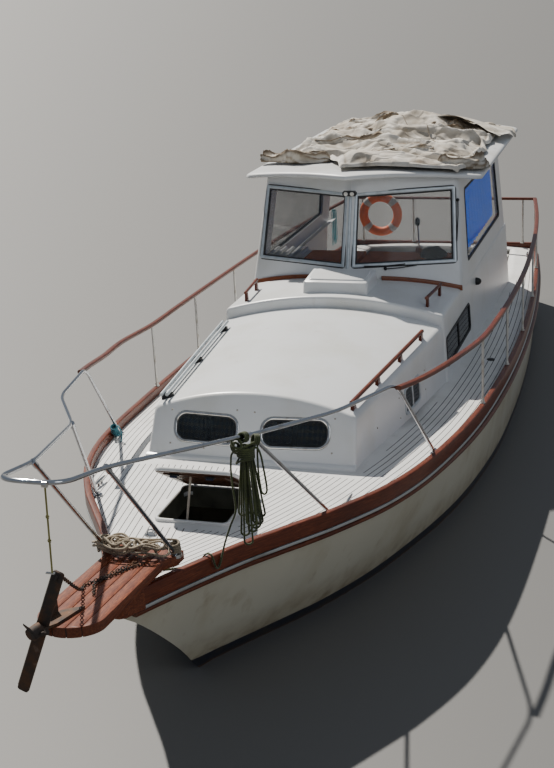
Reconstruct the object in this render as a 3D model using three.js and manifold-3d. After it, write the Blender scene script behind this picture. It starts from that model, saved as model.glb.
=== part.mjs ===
// Motor yacht: planked-deck cabin cruiser of about 10 m with a raised wheelhouse.
// Millimetres. +Z up, bow towards -Y, port side +X, origin on the centreline at the waterline.
import * as THREE from 'three';
import Module from 'manifold-3d';

const wasm = await Module();
wasm.setup();
const { Manifold, Mesh: SolidMesh } = wasm;

// Running gap kept between neighbouring solids.
const GAP = 0.3;

// Hull lines, from stem to transom: station y, half breadth of the deck edge, height of the deck
// edge, height of the bottom on the centreline, half breadth at the waterline, bilge fullness.
const LINES = [
  { y: -5050, xs: 40, zs: 1002, zb: 950, xw: 0, e: 1.0 },
  { y: -4800, xs: 160, zs: 996, zb: 770, xw: 0, e: 1.0 },
  { y: -4500, xs: 318, zs: 987, zb: 520, xw: 0, e: 1.0 },
  { y: -4200, xs: 485, zs: 974, zb: 245, xw: 0, e: 1.0 },
  { y: -3950, xs: 645, zs: 962, zb: -20, xw: 10, e: 1.0 },
  { y: -3600, xs: 862, zs: 943, zb: -210, xw: 215, e: 1.1 },
  { y: -3080, xs: 1100, zs: 908, zb: -340, xw: 545, e: 1.3 },
  { y: -2430, xs: 1262, zs: 862, zb: -405, xw: 845, e: 1.7 },
  { y: -1340, xs: 1388, zs: 775, zb: -440, xw: 1180, e: 2.2 },
  { y: -200, xs: 1445, zs: 718, zb: -450, xw: 1345, e: 2.6 },
  { y: 920, xs: 1458, zs: 685, zb: -450, xw: 1385, e: 2.8 },
  { y: 2000, xs: 1432, zs: 672, zb: -430, xw: 1370, e: 3.0 },
  { y: 3000, xs: 1375, zs: 665, zb: -400, xw: 1320, e: 3.2 },
  { y: 4000, xs: 1285, zs: 660, zb: -345, xw: 1235, e: 3.4 },
  { y: 5050, xs: 1150, zs: 657, zb: -280, xw: 1105, e: 3.6 },
];
const STATIONS = [-5050, -4930, -4700, -4450, -4200, -3950, -3640, -3250, -2800, -2300, -1650, -900, 0, 1000,
  2100, 3100, 4100, 5050];
const DECK_THICK = 25;
const CAMBER = 60;
const SKIN = 22;

// Cabin trunk: half breadth and height of its roof edge fore and aft, and the face ahead of it.
const TRUNK = { yf: -2600, yr: -383, xf: 747, xr: 951, z: 1244, crown: 140, bulge: 65, lean: 0.48, flare: 0.06 };
const RAISED = { yf: -382, yr: 3300, xf: 959, xr: 1000, z: 1340, crown: 140, flare: 0.06 };
// Wheelhouse: foot and head of its V front on the centreline and at the corners.
const HOUSE = { z0: 1300, z1: 2235, yc0: 134, yc1: 432, xo0: 988, yo0: 478, xo1: 900, yo1: 786, yr: 3190,
  xr0: 1003, xr1: 912, wall: 40 };
const ROOF = { yc: 215, yo: 800, x: 1110, xr: 1080, yr: 3700, z: 2262, crown: 95, thick: 46 };
const SOLE = { cabin: -150, cockpit: 330 };

const group = new THREE.Group();
group.name = 'motor_yacht';

// Closed solid from points and triangles, turned right side out.
function solid(points, tris) {
  let volume = 0;
  for (const [a, b, c] of tris) {
    const [p, q, r] = [points[a], points[b], points[c]];
    volume += p[0] * (q[1] * r[2] - q[2] * r[1]) - p[1] * (q[0] * r[2] - q[2] * r[0])
      + p[2] * (q[0] * r[1] - q[1] * r[0]);
  }
  const faces = volume < 0 ? tris.map(([a, b, c]) => [a, c, b]) : tris;
  return new Manifold(new SolidMesh({ numProp: 3, vertProperties: new Float32Array(points.flat()),
    triVerts: new Uint32Array(faces.flat()) }));
}

// Skin over equal rings of points, with a fan over each end.
function loft(rings) {
  const n = rings[0].length;
  const points = rings.flat();
  const tris = [];
  for (let i = 0; i + 1 < rings.length; i += 1) {
    for (let j = 0; j < n; j += 1) {
      const k = (j + 1) % n;
      const [a, b, c, d] = [i * n + j, i * n + k, (i + 1) * n + k, (i + 1) * n + j];
      tris.push([a, b, c], [a, c, d]);
    }
  }
  for (const [i, flip] of [[0, true], [rings.length - 1, false]]) {
    const ring = rings[i];
    const m = points.length;
    points.push([0, 1, 2].map((k) => ring.reduce((sum, p) => sum + p[k], 0) / n));
    for (let j = 0; j < n; j += 1) {
      const [a, b] = [i * n + j, i * n + ((j + 1) % n)];
      tris.push(flip ? [m, b, a] : [m, a, b]);
    }
  }
  return solid(points, tris);
}

// Outline of x, y pairs swept straight from level a to level b, placed by a mapping.
function prism(plan, a, b, place = (x, y, z) => [x, y, z]) {
  const toFlat = (list) => list.map(([x, y]) => new THREE.Vector2(x, y));
  const outline = THREE.ShapeUtils.isClockWise(toFlat(plan)) ? [...plan].reverse() : plan;
  const caps = THREE.ShapeUtils.triangulateShape(toFlat(outline), []);
  const n = outline.length;
  const points = [a, b].flatMap((h) => outline.map(([x, y]) => place(x, y, h)));
  const tris = [];
  for (const cap of caps) {
    const [p, q, r] = cap.map((k) => outline[k]);
    const turn = (q[0] - p[0]) * (r[1] - p[1]) - (q[1] - p[1]) * (r[0] - p[0]);
    const [i, j, k] = turn > 0 ? cap : [cap[0], cap[2], cap[1]];
    tris.push([k, j, i], [i + n, j + n, k + n]);
  }
  for (let i = 0; i < n; i += 1) {
    const j = (i + 1) % n;
    tris.push([i, j, j + n], [i, j + n, i + n]);
  }
  return solid(points, tris);
}
const prismX = (outline, a, b) => prism(outline, a, b, (y, z, x) => [x, y, z]);
const prismY = (outline, a, b) => prism(outline, a, b, (x, z, y) => [x, y, z]);

function box(x0, x1, y0, y1, z0, z1) {
  return prism([[x0, y0], [x1, y0], [x1, y1], [x0, y1]], z0, z1);
}

// Rectangle with rounded corners about a centre.
function rounded(cx, cy, w, h, r, steps = 4) {
  const outline = [];
  for (const [sx, sy, start] of [[1, 1, 0], [-1, 1, 90], [-1, -1, 180], [1, -1, 270]]) {
    for (let i = 0; i <= steps; i += 1) {
      const t = ((start + (90 * i) / steps) * Math.PI) / 180;
      outline.push([cx + sx * (w / 2 - r) + r * Math.cos(t), cy + sy * (h / 2 - r) + r * Math.sin(t)]);
    }
  }
  return outline;
}

// Round bar through points, its section carried along without twist.
function pipe(path, radius, sides = 10) {
  const pts = path.map((p) => new THREE.Vector3(...p));
  const rings = [];
  let normal = null;
  pts.forEach((p, i) => {
    const before = i > 0 ? p.clone().sub(pts[i - 1]).normalize() : null;
    const after = i + 1 < pts.length ? pts[i + 1].clone().sub(p).normalize() : null;
    const t = (before && after ? before.clone().add(after) : before || after).clone().normalize();
    if (!normal) {
      const help = Math.abs(t.z) < 0.9 ? new THREE.Vector3(0, 0, 1) : new THREE.Vector3(1, 0, 0);
      normal = help.cross(t).normalize();
    }
    normal = normal.clone().addScaledVector(t, -normal.dot(t)).normalize();
    const side = t.clone().cross(normal);
    const stretch = before && after ? 1 / Math.max(0.5, Math.sqrt((1 + before.dot(after)) / 2)) : 1;
    const bend = before && after ? after.clone().sub(before) : new THREE.Vector3();
    if (bend.length() > 1e-6) bend.normalize();
    rings.push(Array.from({ length: sides }, (_, j) => {
      const a = (2 * Math.PI * j) / sides;
      const v = normal.clone().multiplyScalar(Math.cos(a) * radius).addScaledVector(side, Math.sin(a) * radius);
      v.addScaledVector(bend, v.dot(bend) * (stretch - 1)).add(p);
      return [v.x, v.y, v.z];
    }));
  });
  return loft(rings);
}

// Points of a path with its corners rounded off.
function bent(path, reach, steps = 4) {
  const out = [path[0]];
  for (let i = 1; i + 1 < path.length; i += 1) {
    const [a, b, c] = [path[i - 1], path[i], path[i + 1]].map((p) => new THREE.Vector3(...p));
    const cut = Math.min(reach, a.distanceTo(b) * 0.45, b.distanceTo(c) * 0.45);
    const p = b.clone().add(a.clone().sub(b).setLength(cut));
    const q = b.clone().add(c.clone().sub(b).setLength(cut));
    for (let k = 0; k <= steps; k += 1) {
      const t = k / steps;
      const v = p.clone().multiplyScalar((1 - t) ** 2).addScaledVector(b, 2 * t * (1 - t)).addScaledVector(q, t * t);
      out.push([v.x, v.y, v.z]);
    }
  }
  out.push(path[path.length - 1]);
  return out;
}

// Flat bar laid along a path: outer and inner offsets in plan, bottom and top offsets in height.
function strip(path, outer, inner, low, high) {
  const rings = path.map((p, i) => {
    const [a, b] = [path[Math.max(0, i - 1)], path[Math.min(path.length - 1, i + 1)]];
    const len = Math.hypot(b[0] - a[0], b[1] - a[1]);
    const [nx, ny] = [(b[1] - a[1]) / len, -(b[0] - a[0]) / len];
    return [[outer, low], [outer, high], [inner, high], [inner, low]]
      .map(([o, h]) => [p[0] + nx * o, p[1] + ny * o, p[2] + h]);
  });
  return loft(rings);
}

// Slab between two height fields over a grid of plan points.
function slab(nu, nv, plan, top, bottom) {
  const points = [];
  for (const height of [top, bottom]) {
    for (let j = 0; j <= nv; j += 1) {
      for (let i = 0; i <= nu; i += 1) {
        const [x, y] = plan(i / nu, j / nv);
        points.push([x, y, height(x, y, i / nu, j / nv)]);
      }
    }
  }
  const at = (i, j, k) => k * (nu + 1) * (nv + 1) + j * (nu + 1) + i;
  const tris = [];
  const quad = (a, b, c, d) => tris.push([a, b, c], [a, c, d]);
  for (let j = 0; j < nv; j += 1) {
    for (let i = 0; i < nu; i += 1) {
      quad(at(i, j, 0), at(i + 1, j, 0), at(i + 1, j + 1, 0), at(i, j + 1, 0));
      quad(at(i, j, 1), at(i, j + 1, 1), at(i + 1, j + 1, 1), at(i + 1, j, 1));
    }
  }
  for (let i = 0; i < nu; i += 1) {
    quad(at(i, 0, 1), at(i + 1, 0, 1), at(i + 1, 0, 0), at(i, 0, 0));
    quad(at(i + 1, nv, 1), at(i, nv, 1), at(i, nv, 0), at(i + 1, nv, 0));
  }
  for (let j = 0; j < nv; j += 1) {
    quad(at(0, j + 1, 1), at(0, j, 1), at(0, j, 0), at(0, j + 1, 0));
    quad(at(nu, j, 1), at(nu, j + 1, 1), at(nu, j + 1, 0), at(nu, j, 0));
  }
  return solid(points, tris);
}

// Plate inside a flat outline in space: drawn in by an inset, corners rounded, between two depths
// measured along the outline's normal.
function plate(corners, inset, radius, from, to) {
  const pts = corners.map((p) => new THREE.Vector3(...p));
  const normal = new THREE.Vector3();
  for (let i = 0; i < pts.length; i += 1) normal.add(pts[i].clone().cross(pts[(i + 1) % pts.length]));
  normal.normalize();
  const origin = pts.reduce((s, p) => s.add(p), new THREE.Vector3()).divideScalar(pts.length);
  const u = pts[1].clone().sub(pts[0]).normalize();
  const v = normal.clone().cross(u);
  const flat = pts.map((p) => new THREE.Vector2(p.clone().sub(origin).dot(u), p.clone().sub(origin).dot(v)));
  const n = flat.length;
  const lines = flat.map((p, i) => {
    const d = flat[(i + 1) % n].clone().sub(p).normalize();
    return { p: p.clone().add(new THREE.Vector2(-d.y, d.x).multiplyScalar(inset)), d };
  });
  const inner = lines.map((line, i) => {
    const prev = lines[(i + n - 1) % n];
    const w = line.p.clone().sub(prev.p);
    const t = (w.x * line.d.y - w.y * line.d.x) / (prev.d.x * line.d.y - prev.d.y * line.d.x);
    return prev.p.clone().addScaledVector(prev.d, t);
  });
  const outline = inner.flatMap((b, i) => {
    if (radius <= 0) return [[b.x, b.y]];
    const p = b.clone().add(inner[(i + n - 1) % n].clone().sub(b).setLength(radius));
    const q = b.clone().add(inner[(i + 1) % n].clone().sub(b).setLength(radius));
    return [0, 1 / 3, 2 / 3, 1].map((t) => [
      p.x * (1 - t) ** 2 + b.x * 2 * t * (1 - t) + q.x * t * t,
      p.y * (1 - t) ** 2 + b.y * 2 * t * (1 - t) + q.y * t * t]);
  });
  return prism(outline, from, to, (x, y, z) => {
    const w = origin.clone().addScaledVector(u, x).addScaledVector(v, y).addScaledVector(normal, z);
    return [w.x, w.y, w.z];
  });
}

const mirrored = (s) => s.mirror([1, 0, 0]);
const largest = (shape) => shape.decompose().sort((a, b) => b.volume() - a.volume())[0];

function put(name, shape, color, roughness = 0.5, metalness = 0) {
  const mesh = shape.getMesh();
  const geometry = new THREE.BufferGeometry();
  geometry.setAttribute('position', new THREE.BufferAttribute(new Float32Array(mesh.vertProperties), 3));
  geometry.setIndex(new THREE.BufferAttribute(new Uint32Array(mesh.triVerts), 1));
  geometry.computeVertexNormals();
  const node = new THREE.Mesh(geometry, new THREE.MeshStandardMaterial({ color, roughness, metalness }));
  node.name = name;
  group.add(node);
}

// Value of a hull column at any y.
function line(column, y) {
  const last = LINES.length - 1;
  let i = 0;
  while (i < last - 1 && y > LINES[i + 1].y) i += 1;
  const slope = (k) => {
    const [a, b] = [LINES[Math.max(0, k - 1)], LINES[Math.min(last, k + 1)]];
    return (b[column] - a[column]) / (b.y - a.y);
  };
  const [p, q] = [LINES[i], LINES[i + 1]];
  const h = q.y - p.y;
  const t = Math.min(1, Math.max(0, (y - p.y) / h));
  return (2 * t ** 3 - 3 * t ** 2 + 1) * p[column] + (t ** 3 - 2 * t ** 2 + t) * h * slope(i)
    + (-2 * t ** 3 + 3 * t ** 2) * q[column] + (t ** 3 - t ** 2) * h * slope(i + 1);
}

// Half breadth of the hull at station y and height z.
function breadth(y, z) {
  const [xs, zs, zb, xw, e] = ['xs', 'zs', 'zb', 'xw', 'e'].map((c) => line(c, y));
  if (zb >= -60) return xs * Math.max(0, Math.min(1, (z - zb) / (zs - zb)));
  if (z >= 0) return Math.max(1, xw) + (xs - Math.max(1, xw)) * (z / zs) ** 0.9;
  return Math.max(1, xw) * (1 - Math.min(1, z / zb) ** e);
}
const deckTop = (x, y) => line('zs', y) + CAMBER * (line('xs', y) / 1450) * (1 - (x / line('xs', y)) ** 2);

// Hull: one skin over the stations, with cambered top, and the wells cut into it.
const ACROSS = [1, 2 / 3, 1 / 3, 0, -1 / 3, -2 / 3, -1];
const DOWN = [0.13, 0.32, 0.5, 0.64, 0.76, 0.86, 0.94];
function hullRing(y, drop) {
  const [xs, zs, zb] = [line('xs', y), line('zs', y), line('zb', y)];
  const side = DOWN.map((s) => zs + (zb - zs) * s).map((z) => [breadth(y, z), y, z]);
  const top = ACROSS.map((f) => [f * xs, y, deckTop(f * xs, y) - drop]);
  return [...top, ...side.map(([x, yy, z]) => [-x, yy, z]), [0, y, zb], ...side.reverse()];
}
const hullSolid = loft(STATIONS.map((y) => hullRing(y, DECK_THICK + 2 * GAP)));
const wholeHull = loft(STATIONS.map((y) => hullRing(y, 0)));
// Everything below the deck's top face, a running gap above it.
const underDeck = loft([-5200, ...STATIONS, 5200].map((y) => {
  const xs = line('xs', y);
  const edge = line('zs', y) + GAP;
  return [[1700, y, edge], ...ACROSS.map((f) => [f * xs, y, deckTop(f * xs, y) + GAP]), [-1700, y, edge],
    [-1700, y, -900], [1700, y, -900]];
}));

const HATCH = { y: -3655, w: 450, h: 500, r: 70 };
const ENGINE = { x: 330, y0: 1560, y1: 2420, z0: -300, z1: 140 };
const WALL = 36;
// Space inside the hull's wall at a given inset, open at the top.
function insideRing(y, inset) {
  const [xs, zs, zb] = [line('xs', y), line('zs', y), line('zb', y)];
  const half = [[xs, zs], ...DOWN.map((s) => zs + (zb - zs) * s).map((z) => [breadth(y, z), z]), [0, zb]];
  const inner = half.map(([x, z], i) => {
    const a = half[Math.max(0, i - 1)];
    const b = i + 1 < half.length ? half[i + 1] : [-half[i - 1][0], half[i - 1][1]];
    const len = Math.hypot(b[0] - a[0], b[1] - a[1]);
    const [nx, nz] = [(b[1] - a[1]) / len, -(b[0] - a[0]) / len];
    const lean = i + 1 < half.length ? 1 : Math.min(2, 1 / Math.max(0.3, (z - half[i - 1][1]) / -Math.hypot(x - half[i - 1][0], z - half[i - 1][1]) || 1));
    return i + 1 < half.length ? [x + nx * inset, z + nz * inset] : [0, z + inset * lean];
  });
  inner[0] = [inner[1][0] + (xs - half[1][0]), 1300];
  const top = [0.5, 0, -0.5].map((f) => [inner[0][0] * f, y, 1310]);
  const side = inner.slice(0, -1);
  return [...top, ...side.map(([x, z]) => [-x, y, z]), [0, y, inner[inner.length - 1][1]],
    ...side.reverse().map(([x, z]) => [x, y, z])];
}
const INSIDE = [-4330, -4200, -3950, -3640, -3250, -2800, -2300, -1650, -900, 0, 1000, 2100, 3100, 4100, 5012];
const inside = (inset) => loft(INSIDE.map((y) => insideRing(y, inset)));
const boardSpace = inside(WALL + GAP).intersect(hullSolid);
let hull = hullSolid.subtract(inside(WALL));
const SOLE_HATCH = { x: 430, y0: 1470, y1: 2510, thick: 29, clear: 6 };
const DOORWAY = { x0: -330, x1: 230 };

// Keel with its shoe under the propeller, shaft line and steering gear.
const keelSide = [[-3300, 100], [-3050, -330], [-2300, -560], [0, -700], [3300, -790], [4780, -800], [4780, -740],
  [3420, -732], [3300, -560], [3230, 0]];
let keel = prismX(keelSide, -32, 32).subtract(hullSolid.translate([0, 0, -GAP]));
const SHAFT = { y0: 2440, z0: -150, y1: 4130, z1: -520, r: 17 };
const shaftDir = new THREE.Vector3(0, SHAFT.y1 - SHAFT.y0, SHAFT.z1 - SHAFT.z0).normalize();
const shaftAt = (y) => SHAFT.z0 + ((y - SHAFT.y0) * (SHAFT.z1 - SHAFT.z0)) / (SHAFT.y1 - SHAFT.y0);
const shaftPipe = (y0, y1, r, sides = 16) => pipe([[0, y0, shaftAt(y0)], [0, y1, shaftAt(y1)]], r, sides);
const shaftTunnel = shaftPipe(2300, 4400, SHAFT.r + 0.5, 24);
const RUDDER = { y: 4620, r: 16, zt: 285 };
keel = keel.subtract(pipe([[0, RUDDER.y, -780], [0, RUDDER.y, -600]], 9.4, 24));
// Engine beds, shaft log and rudder tube stand on the hull's bottom.
for (const x of [-260, 190]) hull = hull.add(box(x, x + 70, 1450, 2550, -460, ENGINE.z0 - 20).intersect(hullSolid));
hull = hull.add(shaftPipe(3120, 3560, 38)).subtract(shaftTunnel);
hull = hull.add(pipe([[0, RUDDER.y, -345], [0, RUDDER.y, 200]], 34, 16))
  .subtract(pipe([[0, RUDDER.y, -900], [0, RUDDER.y, 400]], RUDDER.r + 0.5, 24));

put('hull', hull, 0xe9e4d4, 0.4);
const keels = keel.decompose().sort((a, b) => b.volume() - a.volume());
put('keel', keels[0], 0x5a2f26, 0.7);

// Boards inside: soles, bulkheads with the companion doorway, and the cockpit's tub.
put('cabin_sole', box(-1400, 1400, -2500, 490, SOLE.cabin - 30, SOLE.cabin).intersect(boardSpace), 0x7a3c1e, 0.5);
put('fore_bulkhead', box(-1400, 1400, -2540, -2500 - GAP, -900, 1300).intersect(boardSpace), 0xd8d4c6, 0.6);
put('main_bulkhead', box(-1400, 1400, 500, 535, -900, 1300).intersect(boardSpace)
  .add(box(-870, 870, 500, 535, 300, 1200))
  .subtract(box(DOORWAY.x0, DOORWAY.x1, 400, 600, SOLE.cockpit, 1400))
  .add(box(DOORWAY.x0, DOORWAY.x1, 250, 501, SOLE.cabin + GAP, 90)), 0x7a3c1e, 0.4);
let tub = box(-960, 960, 536, 4900, SOLE.cockpit - 30, 900).subtract(box(-935, 935, 400, 4878, SOLE.cockpit, 1000))
  .add(box(-470, 470, 1440, 2540, SOLE.cockpit - 60, SOLE.cockpit - 1))
  .subtract(box(-SOLE_HATCH.x, SOLE_HATCH.x, SOLE_HATCH.y0, SOLE_HATCH.y1, SOLE.cockpit - SOLE_HATCH.thick - GAP, 1000))
  .subtract(box(-400, 400, 1500, 2480, 0, 1000));
put('cockpit_liner', largest(tub.intersect(boardSpace)), 0xdcdcd4, 0.5);

// Deck: thin slab over the hull, open over the cabin, the cockpit and the bow hatch.
const deckSlab = slab(ACROSS.length - 1, STATIONS.length - 1, (u, v) => {
  const y = STATIONS[Math.round(v * (STATIONS.length - 1))];
  return [(1 - 2 * u) * line('xs', y), y];
}, (x, y) => deckTop(x, y), (x, y) => deckTop(x, y) - DECK_THICK);
let deck = deckSlab;
const trunkHole = [[-600, -2560], [600, -2560], [905, -1300], [930, 600], [930, 3250], [-930, 3250], [-930, 600], [-905, -1300]];
deck = deck.subtract(prism(trunkHole, 400, 1400));
deck = deck.subtract(prism([[-930, 3200], [930, 3200], [930, 4000], [860, 4860], [-860, 4860], [-930, 4000]], 400, 1400));
deck = deck.subtract(prism(rounded(0, HATCH.y, HATCH.w, HATCH.h, HATCH.r), 560, 1400));
put('deck', deck, 0xe4e4e2, 0.5);

// Toe rail on the deck edge, sheer strip and rub strake outside the hull.
const EDGE = STATIONS.filter((y) => y >= -4930);
const edgePath = EDGE.map((y) => [line('xs', y), y, line('zs', y)]);
const SIDES = [{ side: 'port', sign: 1 }, { side: 'starboard', sign: -1 }];
const sided = (shape, sign) => (sign > 0 ? shape : mirrored(shape));
// Cuts a body away from a bar with a running gap outboard of it and below it.
const clearOf = (shape, body, sign) => [[0, 0, 0], [sign * GAP, 0, 0], [0, 0, -GAP], [sign * GAP, -GAP, -GAP], [sign * GAP, GAP, 0]]
  .reduce((s, move) => s.subtract(body.translate(move)), shape);
const toeBar = strip(edgePath, 0, -46, -60, 72);
const toeRing = toeBar.add(mirrored(toeBar)).add(box(-1130, 1130, 4998, 5049, 600, 729));
put('toe_rail', largest(toeRing.subtract(underDeck)), 0x5b2416, 0.35);
const BANDS = [
  { name: 'rub_strake', low: -108, high: -48, out: 38, color: 0x4b1f16 },
];
for (const band of BANDS) {
  const path = EDGE.map((y) => [breadth(y, line('zs', y) + (band.low + band.high) / 2), y, line('zs', y)]);
  const bar = strip(path, band.out, -60, band.low, band.high);
  for (const { side, sign } of SIDES) {
    const cutBar = [wholeHull, hullSolid, deckSlab].reduce((shape, body) => clearOf(shape, body, sign), sided(bar, sign));
    put(`${band.name}_${side}`, largest(cutBar), band.color, 0.4);
  }
}

// Bow platform of planks: wide under the pulpit's feet, rising forward with the sheer to a rounded tip.
const halfPlatform = [[232, -4620], [232, -4712], [178, -4800], [178, -5560], [158, -5634], [114, -5690], [50, -5721]];
const platformPlan = [...halfPlatform, ...halfPlatform.map(([x, y]) => [-x, y]).reverse()];
const PLATFORM = { thick: 58, z: 1173, at: -4700, rise: 0.0853 };
const onPlatform = (x, y, h) => [x, y, PLATFORM.z + PLATFORM.rise * (PLATFORM.at - y) + h];
const chock = prism([[-16, -4895], [16, -4895], [80, -4745], [-80, -4745]], 800, 1140).subtract(underDeck);
put('bow_platform', prism(platformPlan, -PLATFORM.thick, 0, onPlatform).add(chock), 0x7a3c1e, 0.3);

// Cabin trunk, raised section and wheelhouse: thin shells, bottom cut to what carries them.
function roofRing(y, xt, z, crown, flare, inset, shift) {
  const r = 38;
  const w = xt - inset;
  const h = z - inset * 0.9;
  const foot = w + flare * (h - 500);
  const side = [[foot, 500], [w + flare * 60, h - 60], [w - r * 0.3, h - r * 0.12]];
  const top = [0.82, 0.6, 0.4, 0.2].map((f) => [w * f, h + (crown - inset * 0.1) * (1 - f * f)]);
  const half = [...side, ...top];
  const ring = [...half, [0, h + crown - inset * 0.1], ...half.slice().reverse().map(([x, zz]) => [-x, zz])];
  return ring.map(([x, zz]) => [x, y + shift(x, zz), zz]);
}
const front = (x, z) => -TRUNK.bulge * (1 - Math.min(1, Math.abs(x) / TRUNK.xf)) - TRUNK.lean * (TRUNK.z - z);
const none = () => 0;
function trunkShell(inset, over) {
  const ys = [TRUNK.yf + inset, -2200, -1700, -1200, -800, TRUNK.yr + over];
  return loft(ys.map((y, i) => {
    const t = (y - TRUNK.yf) / (TRUNK.yr - TRUNK.yf);
    return roofRing(y, TRUNK.xf + (TRUNK.xr - TRUNK.xf) * t, TRUNK.z, TRUNK.crown, TRUNK.flare, inset,
      i === 0 ? front : none);
  }));
}
function raisedShell(inset, over) {
  const ys = [RAISED.yf + inset, 500, 1200, 2000, RAISED.yr + over];
  return loft(ys.map((y) => {
    const t = (y - RAISED.yf) / (RAISED.yr - RAISED.yf);
    return roofRing(y, RAISED.xf + (RAISED.xr - RAISED.xf) * t, RAISED.z, RAISED.crown, RAISED.flare, inset, none);
  }));
}
// Window outlines, port side and seen from outside, counter-clockwise.
const frontY = (x, z) => TRUNK.yf + front(x, z);
const frontWindow = [[75, 1030], [578, 1030], [578, 1238], [75, 1238]].map(([x, z]) => [x, frontY(x, z), z]);
const trunkSideX = (y, z) => TRUNK.xf + ((TRUNK.xr - TRUNK.xf) * (y - TRUNK.yf)) / (TRUNK.yr - TRUNK.yf)
  + TRUNK.flare * (TRUNK.z - z);
const raisedSideX = (y, z) => RAISED.xf + ((RAISED.xr - RAISED.xf) * (y - RAISED.yf)) / (RAISED.yr - RAISED.yf)
  + RAISED.flare * (RAISED.z - z);
const trunkWindow = [[-1530, 862], [-1115, 862], [-1115, 1085], [-1530, 1085]].map(([y, z]) => [trunkSideX(y, z), y, z]);
const cabinWindow = [[-335, 868], [835, 868], [835, 1135], [-335, 1135]].map(([y, z]) => [raisedSideX(y, z), y, z]);
// Points on the V front of the wheelhouse, across from the centreline and up, both 0 to 1.
const houseFront = (s, t) => {
  const z = HOUSE.z0 + (HOUSE.z1 - HOUSE.z0) * t;
  const [yc, yo, xo] = [['yc0', 'yc1'], ['yo0', 'yo1'], ['xo0', 'xo1']].map(([a, b]) => HOUSE[a] + (HOUSE[b] - HOUSE[a]) * t);
  return [xo * s, yc + (yo - yc) * s, z];
};
const rise = (z) => (z - HOUSE.z0) / (HOUSE.z1 - HOUSE.z0);
const screen = [[0.035, 1578], [0.955, 1572], [0.965, 2216], [0.035, 2212]].map(([s, z]) => houseFront(s, rise(z)));
const houseSide = (y, z) => {
  const t = rise(z);
  const [a, b] = [HOUSE.xo0 + (HOUSE.xo1 - HOUSE.xo0) * t, HOUSE.xr0 + (HOUSE.xr1 - HOUSE.xr0) * t];
  const [p, q] = [HOUSE.yo0 + (HOUSE.yo1 - HOUSE.yo0) * t, HOUSE.yr];
  return [a + ((b - a) * (y - p)) / (q - p), y, z];
};
const sideWindow = [[870, 1500], [2900, 1500], [2900, 2130], [1030, 2150]].map(([y, z]) => houseSide(y, z));

const WINDOWS = [
  { name: 'front_window', outline: frontWindow, bar: 24, round: 80, proud: 10, color: 0xb8b8b4 },
  { name: 'trunk_window', outline: trunkWindow, bar: 24, round: 45, proud: 8, color: 0x8d9096, fused: true },
  { name: 'cabin_window', outline: cabinWindow, bar: 24, round: 50, proud: 8, color: 0x2a2c30, fused: true },
  { name: 'windscreen', outline: screen, bar: 30, round: 24, proud: 14, color: 0xb9c3cb },
  { name: 'house_window', outline: sideWindow, bar: 24, round: 40, proud: 6, color: 0x15171a },
];
const holes = WINDOWS.map((w) => plate(w.outline, -GAP, w.round, -90, 60));
const cut = (shape, list) => list.reduce((s, k) => s.subtract(holes[k]).subtract(mirrored(holes[k])), shape);

let trunk = trunkShell(0, 0).subtract(trunkShell(SKIN, 60)).subtract(underDeck);
trunk = cut(trunk, [0, 1]);
put('cabin_trunk', trunk, 0xdcdfe0, 0.4);

const raisedOuter = raisedShell(0, 0);
let raised = raisedOuter.subtract(raisedShell(SKIN, 60)).subtract(underDeck);
raised = raised.subtract(prismY([[-800, 600], [800, 600], [820, 1200], [-820, 1200]], -400, -330));
const houseFloor = [[0, 240], [905, 560], [920, 3400], [-920, 3400], [-905, 560]];
raised = raised.subtract(prism(houseFloor, 1100, 1700));
raised = cut(raised, [2]);
put('raised_cabin', raised.decompose().sort((a, b) => b.volume() - a.volume())[0], 0xdfe1e2, 0.4);

function houseLoft(inset, z0, z1, over) {
  const ring = (z) => {
    const t = rise(z);
    const at = (a, b) => HOUSE[a] + (HOUSE[b] - HOUSE[a]) * t;
    const half = [[at('xo0', 'xo1') - inset, at('yo0', 'yo1') + inset * 0.8], [at('xr0', 'xr1') - inset, HOUSE.yr + over]];
    return [[0, at('yc0', 'yc1') + inset * 1.05, z], ...half.map(([x, y]) => [x, y, z]),
      ...half.reverse().map(([x, y]) => [-x, y, z])];
  };
  return loft([ring(z0), ring(z1)]);
}
const roofUnder = (x) => ROOF.z + ROOF.crown * (1 - (x / ROOF.x) ** 2);
const roofPlan = (grow) => (u, v) => {
  const s = 2 * u - 1;
  const x = s * (ROOF.x + grow + (ROOF.xr - ROOF.x) * v);
  const yf = ROOF.yc + (ROOF.yo - ROOF.yc) * Math.abs(s) - grow;
  return [x, yf + (ROOF.yr + grow - yf) * v];
};
const overRoof = slab(14, 8, roofPlan(0), () => 2700, (x) => roofUnder(x) - GAP);
let house = houseLoft(0, HOUSE.z0 + 1, 2500, 0).subtract(houseLoft(HOUSE.wall, HOUSE.z0 - 100, 2600, 80));
house = house.subtract(raisedOuter.translate([0, 0, GAP])).subtract(overRoof);
house = cut(house, [3, 4]);
put('wheelhouse', house.decompose().sort((a, b) => b.volume() - a.volume())[0], 0xdde0e2, 0.4);
put('roof', slab(14, 8, roofPlan(0), (x) => roofUnder(x) + ROOF.thick, (x) => roofUnder(x)), 0xe6e6e2, 0.45);

for (const w of WINDOWS) {
  const frame = plate(w.outline, 0, w.round, -18, w.proud).subtract(plate(w.outline, w.bar, w.round * 0.7, -40, 40));
  const glass = plate(w.outline, w.bar + (w.fused ? -2 : GAP), w.round * 0.7, -9, -3);
  for (const { side, sign } of SIDES) {
    if (w.fused) {
      put(`${w.name}_${side}`, sided(frame.add(glass), sign), w.color, 0.35, 0.4);
    } else {
      put(`${w.name}_frame_${side}`, sided(frame, sign), w.color, 0.35, 0.6);
      put(`${w.name}_glass_${side}`, sided(glass, sign), 0x22282c, 0.1);
    }
  }
}

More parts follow.
